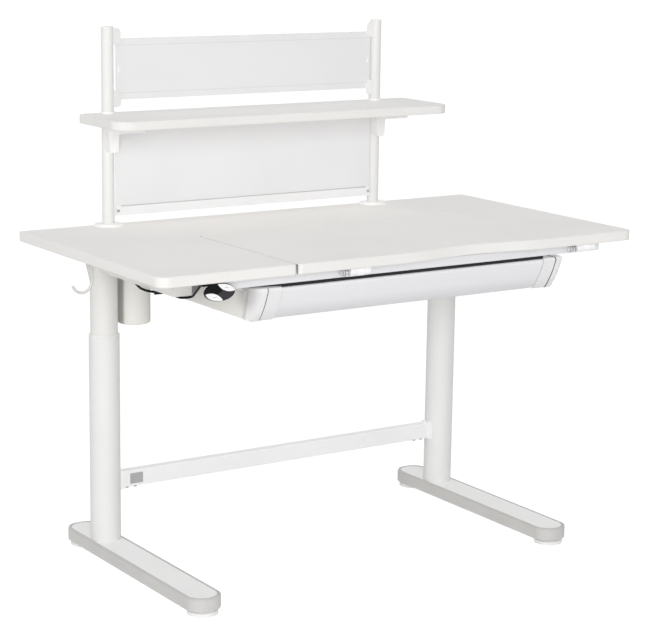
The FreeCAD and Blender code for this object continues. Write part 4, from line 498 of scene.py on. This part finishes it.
FINISHES = {
    board_white: ["fixed_top", "tilt_board"],
    shelf_white: ["shelf"],
    frame_white: ["inner_tube_left", "inner_tube_right", "channel_left", "channel_right", "mid_beam", "prop_rails",
                  "prop_frame", "prop_clevises"],
    column_white: ["outer_tube_left", "outer_tube_right"],
    leaf_white: ["hinge_lower_leaves", "hinge_upper_leaves"],
    can_finish(): ["motor_housing_left", "motor_housing_right"],
    beam_white: ["front_beam"],
    hook_white: ["hook"],
    foot_finish(): ["foot_plate_left", "foot_plate_right"],
    tube_white: ["stretcher"],
    post_white: ["posts"],
    panel_finish(): ["upper_panel", "lower_panel", "lower_rail"],
    case_white: ["gear_case_left", "gear_case_right"],
    bumper_finish(): ["foot_trim_left", "foot_trim_right"],
    front_finish(): ["drawer_front"],
    tray_finish(): ["drawer_tray"],
    cap_finish(): ["drawer_caps"],
    fitting_white: ["stretcher_saddles", "post_rings"],
    bracket_finish(): ["hutch_brackets"],
    glide_white: ["glide_front_left", "glide_front_right", "glide_rear_left", "glide_rear_right"],
    button_white: ["button_up", "button_down"],
    pod_finish(): ["handset_pod"],
    box_black: ["control_box", "power_inlet"],
    clip_finish(): ["lead_clips"],
    guide_cream: ["guide_sleeves", "lower_sliders"],
    cable_black: ["handset_lead"],
    screw_steel: ["spindle_left", "spindle_right"],
    rotor_steel: ["rotor_left", "rotor_right"],
    zinc: ["small_screws", "nut_tubes"],
    bolt_dark: ["base_bolts"],
    pin_finish(): ["hinge_pins"],
    rail_white: ["drawer_rails"],
    turned_brass: ["spindle_nuts"],
    copper_iron: ["stators"],
}
for material, names in FINISHES.items():
    for node_name in names:
        data = NODES[node_name].data
        data.materials.clear()
        data.materials.append(material)


# Trim

bare_plate = plain_moulding("bare_plate", tone(176, 176, 178), tone(168, 168, 170), rough=0.32)
mark_grey = plain_moulding("mark_grey", tone(158, 158, 160), tone(148, 148, 150), rough=0.4)
# Dark and grey for strips of painted shade in gaps and grooves
shade_strip_dark = plain_moulding("shade_strip_dark", tone(44, 43, 43), tone(34, 33, 33), rough=0.6, gloss=0.2)
shade_strip_mid = plain_moulding("shade_strip_mid", tone(132, 130, 128), tone(122, 120, 118), rough=0.6, gloss=0.2)
shade_strip_grey = plain_moulding("shade_strip_grey", tone(196, 196, 196), tone(186, 186, 186), rough=0.6, gloss=0.3)

FORWARD, UP = (0, -1, 0), (0, 0, 1)
PLATE_WIDTH, PLATE_HEIGHT, PLATE_THICK, PLATE_ROUND = 0.032, 0.024, 0.0011, 0.0025
PLATE_X, PLATE_Z = -0.385, 0.1717
# How far out each ring of the plate stands, as a share of its thickness, and how wide it is
PLATE_RINGS = ((0.0, 1.0), (0.55, 1.0), (0.85, 0.985), (1.0, 0.955), (1.0, 0.0), (0.0, 0.0), (0.0, 1.0))
CHEVRON_REACH, CHEVRON_RISE, CHEVRON_WIDTH, CHEVRON_PROUD = 0.0048, 0.0018, 0.0009, 0.00025
FRONT_SWEEP, FRONT_BULGE = 0.038, 0.0045
CROWN_ROUND, FOOT_ROUND, CROWN_SET = 0.005, 0.008, 0.0015
# Steps of the cap's sweep: all, those that give its direction at an end, and those that the two rounds take up
SWEEP_STEPS, AIM_STEPS, CROWN_STEPS, FOOT_STEPS = 60, 4, 6, 4
LEFT_GROOVE_IN, RIGHT_GROOVE_IN = 0.0317, 0.0252
# The beads of painted shade in the caps' grooves: half width, half depth, and how far back along the top they
# reach
GROOVE_SHADE_HALF_WIDTH, GROOVE_SHADE_HALF_DEPTH, GROOVE_SHADE_BACK = 0.00112, 0.0008, 0.035
# The strip of painted shade in the gap over the drawer
GAP_SHADE_IN, GAP_SHADE_LAP, GAP_SHADE_CLEAR, GAP_SHADE_PROUD = 0.006, 0.0003, 0.001, 0.002
GAP_SHADE_PAST, GAP_SHADE_TURN = 0.002, 0.018
# The gap between the boards, and the strips of painted shade in it
BOARD_GAP, BOARD_SHADE_WIDTH, BOARD_SHADE_PROUD = 0.003, 0.0026, 0.0006
BOARD_SHADE_FRONT, BOARD_SHADE_BACK, BOARD_SHADE_FOOT, BOARD_SHADE_SUNK = 0.004, 0.002, 0.001, 0.0015
# The lines of painted shade along the rail's top edge and at its left end
RAIL_SHADE_WIDTH, RAIL_SHADE_PROUD, RAIL_SHADE_SUNK = 0.0024, 0.0007, 0.0001
RAIL_SHADE_INSET, RAIL_SHADE_DROP = 0.016, 0.0008
RAIL_END_WIDTH, RAIL_END_OUT, RAIL_END_BACK, RAIL_END_SHORT = 0.0022, 0.0012, 0.002, 0.001


def surface(name, grid, material, body, smooth=True):
    """A mesh from a grid of points, rows by columns, its last column joined to the first. It rides on body."""
    rows, columns, _ = grid.shape
    index = np.arange(rows * columns).reshape(rows, columns)
    index = np.concatenate([index, index[:, :1]], axis=1)
    faces = np.stack([index[:-1, :-1], index[:-1, 1:], index[1:, 1:], index[1:, :-1]], axis=-1).reshape(-1, 4)
    mesh = bpy.data.meshes.new(name)
    mesh.from_pydata(grid.reshape(-1, 3), [], faces)
    mesh.validate()
    mesh.polygons.foreach_set("use_smooth", np.full(len(mesh.polygons), smooth))
    mesh.materials.append(material)
    piece = bpy.data.objects.new(name, mesh)
    bpy.context.scene.collection.objects.link(piece)
    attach(piece, body)


def rounded_outline(width, height, radius, steps=8):
    """A rectangle's outline with round corners, about the origin, counter-clockwise."""
    quarter = np.linspace(0, FULL_TURN / 4, steps)
    corners = []
    for k, (right, up) in enumerate(((1, 1), (-1, 1), (-1, -1), (1, -1))):
        angle = quarter + k * FULL_TURN / 4
        centre = np.array([right * (width / 2 - radius), up * (height / 2 - radius)])
        corners.append(centre + radius * np.stack([np.cos(angle), np.sin(angle)], axis=1))
    return np.concatenate(corners)


def badge_plate():
    """A bare plate on the stretcher: rings of one outline, drawn in as they rise, closed at the middle."""
    across, up = rounded_outline(PLATE_WIDTH, PLATE_HEIGHT, PLATE_ROUND).T
    rise, share = np.array(PLATE_RINGS).T[:, :, None]
    x, z = PLATE_X + share * across, PLATE_Z + share * up
    y = np.broadcast_to(sides(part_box("stretcher")).front - rise * PLATE_THICK, x.shape)
    surface("badge_plate", np.stack([x, y, z], axis=-1), bare_plate, "base", smooth=False)


def carried_ellipse(path, side, rise, corners):
    """An ellipse carried along a path, with side and rise as its half axes there, and closed at both ends."""
    turn = np.linspace(0, FULL_TURN, corners, endpoint=False)[None, :, None]
    grid = path[:, None, :] + np.cos(turn) * side[:, None, :] + np.sin(turn) * rise[:, None, :]
    first, last = np.repeat(path[[0, -1], None, :], corners, axis=1)
    return np.concatenate([[first], grid, [last]])


def bead(path, out, width, height, corners=18):
    """A bead along a path: an ellipse as wide as width that stands out by height along one direction."""
    along = np.gradient(path, axis=0)
    side = np.cross(along, out)
    side /= np.linalg.norm(side, axis=1, keepdims=True)
    return carried_ellipse(path, side * width / 2, np.broadcast_to(np.array(out) * height, path.shape), corners)


def chevron(node, way):
    """A chevron on a button's face: a bent line of two arms, carried as a bead."""
    button = sides(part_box(node))
    arm = np.linspace(-1, 1, 17)
    x = (button.left + button.right) / 2 + CHEVRON_REACH * arm
    z = (button.bottom + button.top) / 2 + way * CHEVRON_RISE * (0.5 - np.abs(arm))
    path = np.stack([x, np.full(len(arm), button.front), z], axis=1)
    surface(f"{node}_chevron", bead(path, FORWARD, CHEVRON_WIDTH, CHEVRON_PROUD), mark_grey, node)


def arc_through(first, middle, last, steps):
    """Points on the circle through three points of a plane, taken as complex numbers."""
    a, b, c = (complex(*point) for point in (first, middle, last))
    ratio = (c - a) / (b - a)
    centre = a + (b - a) * (ratio - abs(ratio) ** 2) / (2j * ratio.imag)
    sweep = np.angle((c - centre) / (a - centre))
    points = centre + (a - centre) * np.exp(1j * np.linspace(0, sweep, steps))
    return np.stack([points.real, points.imag], axis=1)


def corner_arc(before, corner, after, radius, steps=9):
    """The arc that rounds a corner: its centre lies on the bisector, one radius from both sides."""
    ways = [np.subtract(end, corner) / np.linalg.norm(np.subtract(end, corner)) for end in (before, after)]
    half = math.acos(np.dot(*ways)) / 2
    bisector = (ways[0] + ways[1]) / np.linalg.norm(ways[0] + ways[1])
    ends = [corner + way * radius / math.tan(half) for way in ways]
    middle = corner + bisector * (radius / math.sin(half) - radius)
    return arc_through(ends[0], middle, ends[1], steps)


def cap_section():
    """A cap's outline in y and z: its top, a round, a bulged arc down and back, and a round at the foot."""
    face = CAPS.front - CROWN_SET
    foot = face + FRONT_SWEEP
    middle = ((face + foot) / 2 - FRONT_BULGE, (CAPS.top + CAPS.bottom) / 2)
    sweep = arc_through((face, CAPS.top), middle, (foot, CAPS.bottom), SWEEP_STEPS)
    crown = corner_arc((foot, CAPS.top), sweep[0], sweep[AIM_STEPS], CROWN_ROUND)
    heel = corner_arc(sweep[-AIM_STEPS], sweep[-1], (foot + FRONT_SWEEP, CAPS.bottom), FOOT_ROUND)
    return np.concatenate([[(face + GROOVE_SHADE_BACK, CAPS.top)], crown, sweep[CROWN_STEPS:-FOOT_STEPS], heel])


def groove_shade_bead(name, x, sunk):
    """A dark bead of painted shade in a cap's groove: an ellipse carried along the cap's section, sunk a little
    below it.
    """
    route = cap_section()
    along = np.gradient(route, axis=0)
    inward = np.stack([-along[:, 1], along[:, 0]], axis=1) / np.linalg.norm(along, axis=1, keepdims=True)
    path = np.column_stack([np.full(len(route), x), route + inward * sunk])
    side = np.broadcast_to([-GROOVE_SHADE_HALF_WIDTH, 0.0, 0.0], path.shape)
    rise = np.column_stack([np.zeros(len(route)), -inward * GROOVE_SHADE_HALF_DEPTH])
    surface(name, carried_ellipse(path, side, rise, corners=12), shade_strip_dark, "drawer")


def strip(name, first, last, out, width, height, material, body):
    """A straight bead between two points."""
    share = np.linspace(0, 1, 24)[:, None]
    path = np.asarray(first) * (1 - share) + np.asarray(last) * share
    surface(name, bead(path, out, width, height), material, body)


def gap_shade_strips():
    """A dark strip of painted shade in the gap over the drawer: deep over the long moulding, shallow and bent back
    over the left cap.
    """
    y, top = CAPS.front + GAP_SHADE_IN, BEAM.bottom + GAP_SHADE_LAP
    left_end = (CAPS.left - GAP_SHADE_PAST, y + GAP_SHADE_TURN)
    spans = {"middle": ((FRONT.left, y), (FRONT.right, y), FRONT.top),
             "left": (left_end, (FRONT.left, y), CAPS.top)}
    for key, (start, end, below) in spans.items():
        foot = below + GAP_SHADE_CLEAR
        z = (top + foot) / 2
        strip(f"drawer_gap_shade_{key}", (*start, z), (*end, z), FORWARD, top - foot, GAP_SHADE_PROUD, shade_strip_dark, "lift")


def board_gap_shade_strip():
    """Strips of painted shade in the gap between fixed top and tilting board: dark below their faces, grey at its
    end.
    """
    board = sides(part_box("tilt_board"))
    x = board.left - BOARD_GAP + BOARD_SHADE_WIDTH / 2
    front, back = board.front + BOARD_SHADE_FRONT, board.back - BOARD_SHADE_BACK
    foot, top = board.bottom + BOARD_SHADE_FOOT, board.top - BOARD_SHADE_SUNK
    strip("board_gap_shade_strip", (x, front, top), (x, back, top), UP, BOARD_SHADE_WIDTH, BOARD_SHADE_PROUD, shade_strip_dark, "lift")
    strip("board_gap_end_shade", (x, front, foot), (x, front, top), FORWARD, BOARD_SHADE_WIDTH, BOARD_SHADE_PROUD, shade_strip_mid, "lift")


def rail_shade_lines():
    """A grey line of painted shade along the rail's top edge, and a dark line of painted shade at its left end."""
    y, z = RAIL.front + RAIL_SHADE_SUNK, RAIL.top - RAIL_SHADE_DROP
    left, right = RAIL.left + RAIL_SHADE_INSET, RAIL.right - RAIL_SHADE_INSET
    strip("rail_top_shade", (left, y, z), (right, y, z), FORWARD, RAIL_SHADE_WIDTH, RAIL_SHADE_PROUD, shade_strip_grey, "lift")
    end, y = RAIL.left - RAIL_END_OUT, y + RAIL_END_BACK
    foot, top = RAIL.bottom + RAIL_END_SHORT, RAIL.top - RAIL_END_SHORT
    strip("rail_end_shade", (end, y, foot), (end, y, top), FORWARD, RAIL_END_WIDTH, RAIL_SHADE_PROUD, shade_strip_dark,
          "lift")


badge_plate()
chevron("button_up", way=1)
chevron("button_down", way=-1)
# Painted shade in the caps' grooves
groove_shade_bead("groove_shade_left", CAPS.left + LEFT_GROOVE_IN, sunk=0.0013)
groove_shade_bead("groove_shade_right", CAPS.right - RIGHT_GROOVE_IN, sunk=0.0008)
# Painted shade in the gap over the drawer
gap_shade_strips()
# Painted shade in the gap between the boards
board_gap_shade_strip()
# Painted shade along the rail
rail_shade_lines()


# Studio

FLOOR_DROP = 0.0003
SUN_SPREAD = math.radians(4)
PHOTO_WIDTH, FOCAL_PIXELS, SENSOR = 648, 2012.45, 36.0
CAMERA_PLACE = (-2.4171, -3.6427, 1.4337)
HEADING, TILT, ROLL = (math.radians(degrees) for degrees in (-33.464, -11.719, 0.81))
VIEW_REACH = 100.0


def backdrop_share(tree):
    """1 for rays from the camera and for those that mirrors and glass send on."""
    rays = ("Is Camera Ray", "Is Glossy Ray", "Is Transmission Ray")
    camera, glossy, through = (tree.node("LightPath", output=ray) for ray in rays)
    return camera.most(glossy).most(through)


def studio_world(fill):
    """An even white surround: that strength of light on the object, plain white to the camera."""
    world = bpy.data.worlds.new("studio")
    bpy.context.scene.world = world
    tree = NodeTree(world)
    lit = tree.node("Background", None, {"Color": WHITE, "Strength": fill})
    seen = tree.node("Background", None, {"Color": WHITE, "Strength": 1.0})
    mix = tree.node("MixShader", None, {0: backdrop_share(tree), 1: lit, 2: seen})
    tree.node("OutputWorld", None, {"Surface": mix})


def studio_floor(half, kept_shadow):
    """A pale floor: white to the camera except for the share of shadow that it keeps."""
    mesh = bpy.data.meshes.new("floor")
    corners = np.array([[-half, -half, 0], [half, -half, 0], [half, half, 0], [-half, half, 0]])
    mesh.from_pydata(corners - [0, 0, FLOOR_DROP], [], [(0, 1, 2, 3)])
    floor = bpy.data.objects.new("floor", mesh)
    bpy.context.scene.collection.objects.link(floor)
    material = bpy.data.materials.new("floor_white")
    tree = NodeTree(material)
    diffuse = tree.node("BsdfDiffuse", None, {"Color": tone(226, 226, 225)})
    glow = tree.node("Emission", None, {"Strength": 1.0 / (1.0 - kept_shadow)})
    mix = tree.node("MixShader", None, {0: backdrop_share(tree) * (1.0 - kept_shadow), 1: diffuse, 2: glow})
    tree.node("OutputMaterial", None, {"Surface": mix})
    mesh.materials.append(material)


def hang(lamp, way, place=(0, 0, 0)):
    """Puts a lamp in the scene at a place, shining one way."""
    holder = bpy.data.objects.new(lamp.name, lamp)
    holder.location = place
    holder.rotation_euler = way.to_track_quat("-Z", "Y").to_euler()
    bpy.context.scene.collection.objects.link(holder)


def soft_box(name, place, target, size, power):
    """A square soft box that faces the target."""
    lamp = bpy.data.lights.new(name, "AREA")
    lamp.shape = "SQUARE"
    lamp.size = size
    lamp.energy = power
    hang(lamp, Vector(target) - Vector(place), place)


def even_fill(name, way, strength, shadow):
    """An even light that goes one way, with or without shadows."""
    lamp = bpy.data.lights.new(name, "SUN")
    lamp.energy = strength
    lamp.angle = SUN_SPREAD
    lamp.use_shadow = shadow
    hang(lamp, Vector(way))


def photo_camera():
    """The camera where the photograph was taken from: its place, heading, tilt and roll."""
    ahead = Vector((-math.sin(HEADING) * math.cos(TILT), math.cos(HEADING) * math.cos(TILT), math.sin(TILT)))
    level_right = ahead.cross(Vector(UP)).normalized()
    level_up = level_right.cross(ahead)
    right = math.cos(ROLL) * level_right + math.sin(ROLL) * level_up
    up = math.cos(ROLL) * level_up - math.sin(ROLL) * level_right
    lens = bpy.data.cameras.new("camera")
    lens.sensor_width = SENSOR
    lens.lens = FOCAL_PIXELS / PHOTO_WIDTH * SENSOR
    lens.clip_end = VIEW_REACH
    camera = bpy.data.objects.new("camera", lens)
    turn = Matrix((right, up, -ahead)).transposed().to_4x4()
    camera.matrix_world = Matrix.Translation(CAMERA_PLACE) @ turn
    bpy.context.scene.collection.objects.link(camera)
    bpy.context.scene.camera = camera


bpy.context.scene.view_settings.view_transform = "Standard"
studio_world(fill=0.525)
studio_floor(half=40.0, kept_shadow=0.08)
soft_box("front_box", place=(-4.6, -7.6, 2.3), target=(0.0, 0.0, 0.6), size=4.4, power=388.0)
soft_box("side_box", place=(-4.6, -0.9, 1.6), target=(0.0, 0.0, 0.6), size=1.8, power=18.0)
even_fill("overhead_fill", way=(0, 0, -1), strength=0.72, shadow=False)
even_fill("back_fill", way=(-0.3, -1, 0), strength=0.55, shadow=True)
photo_camera()
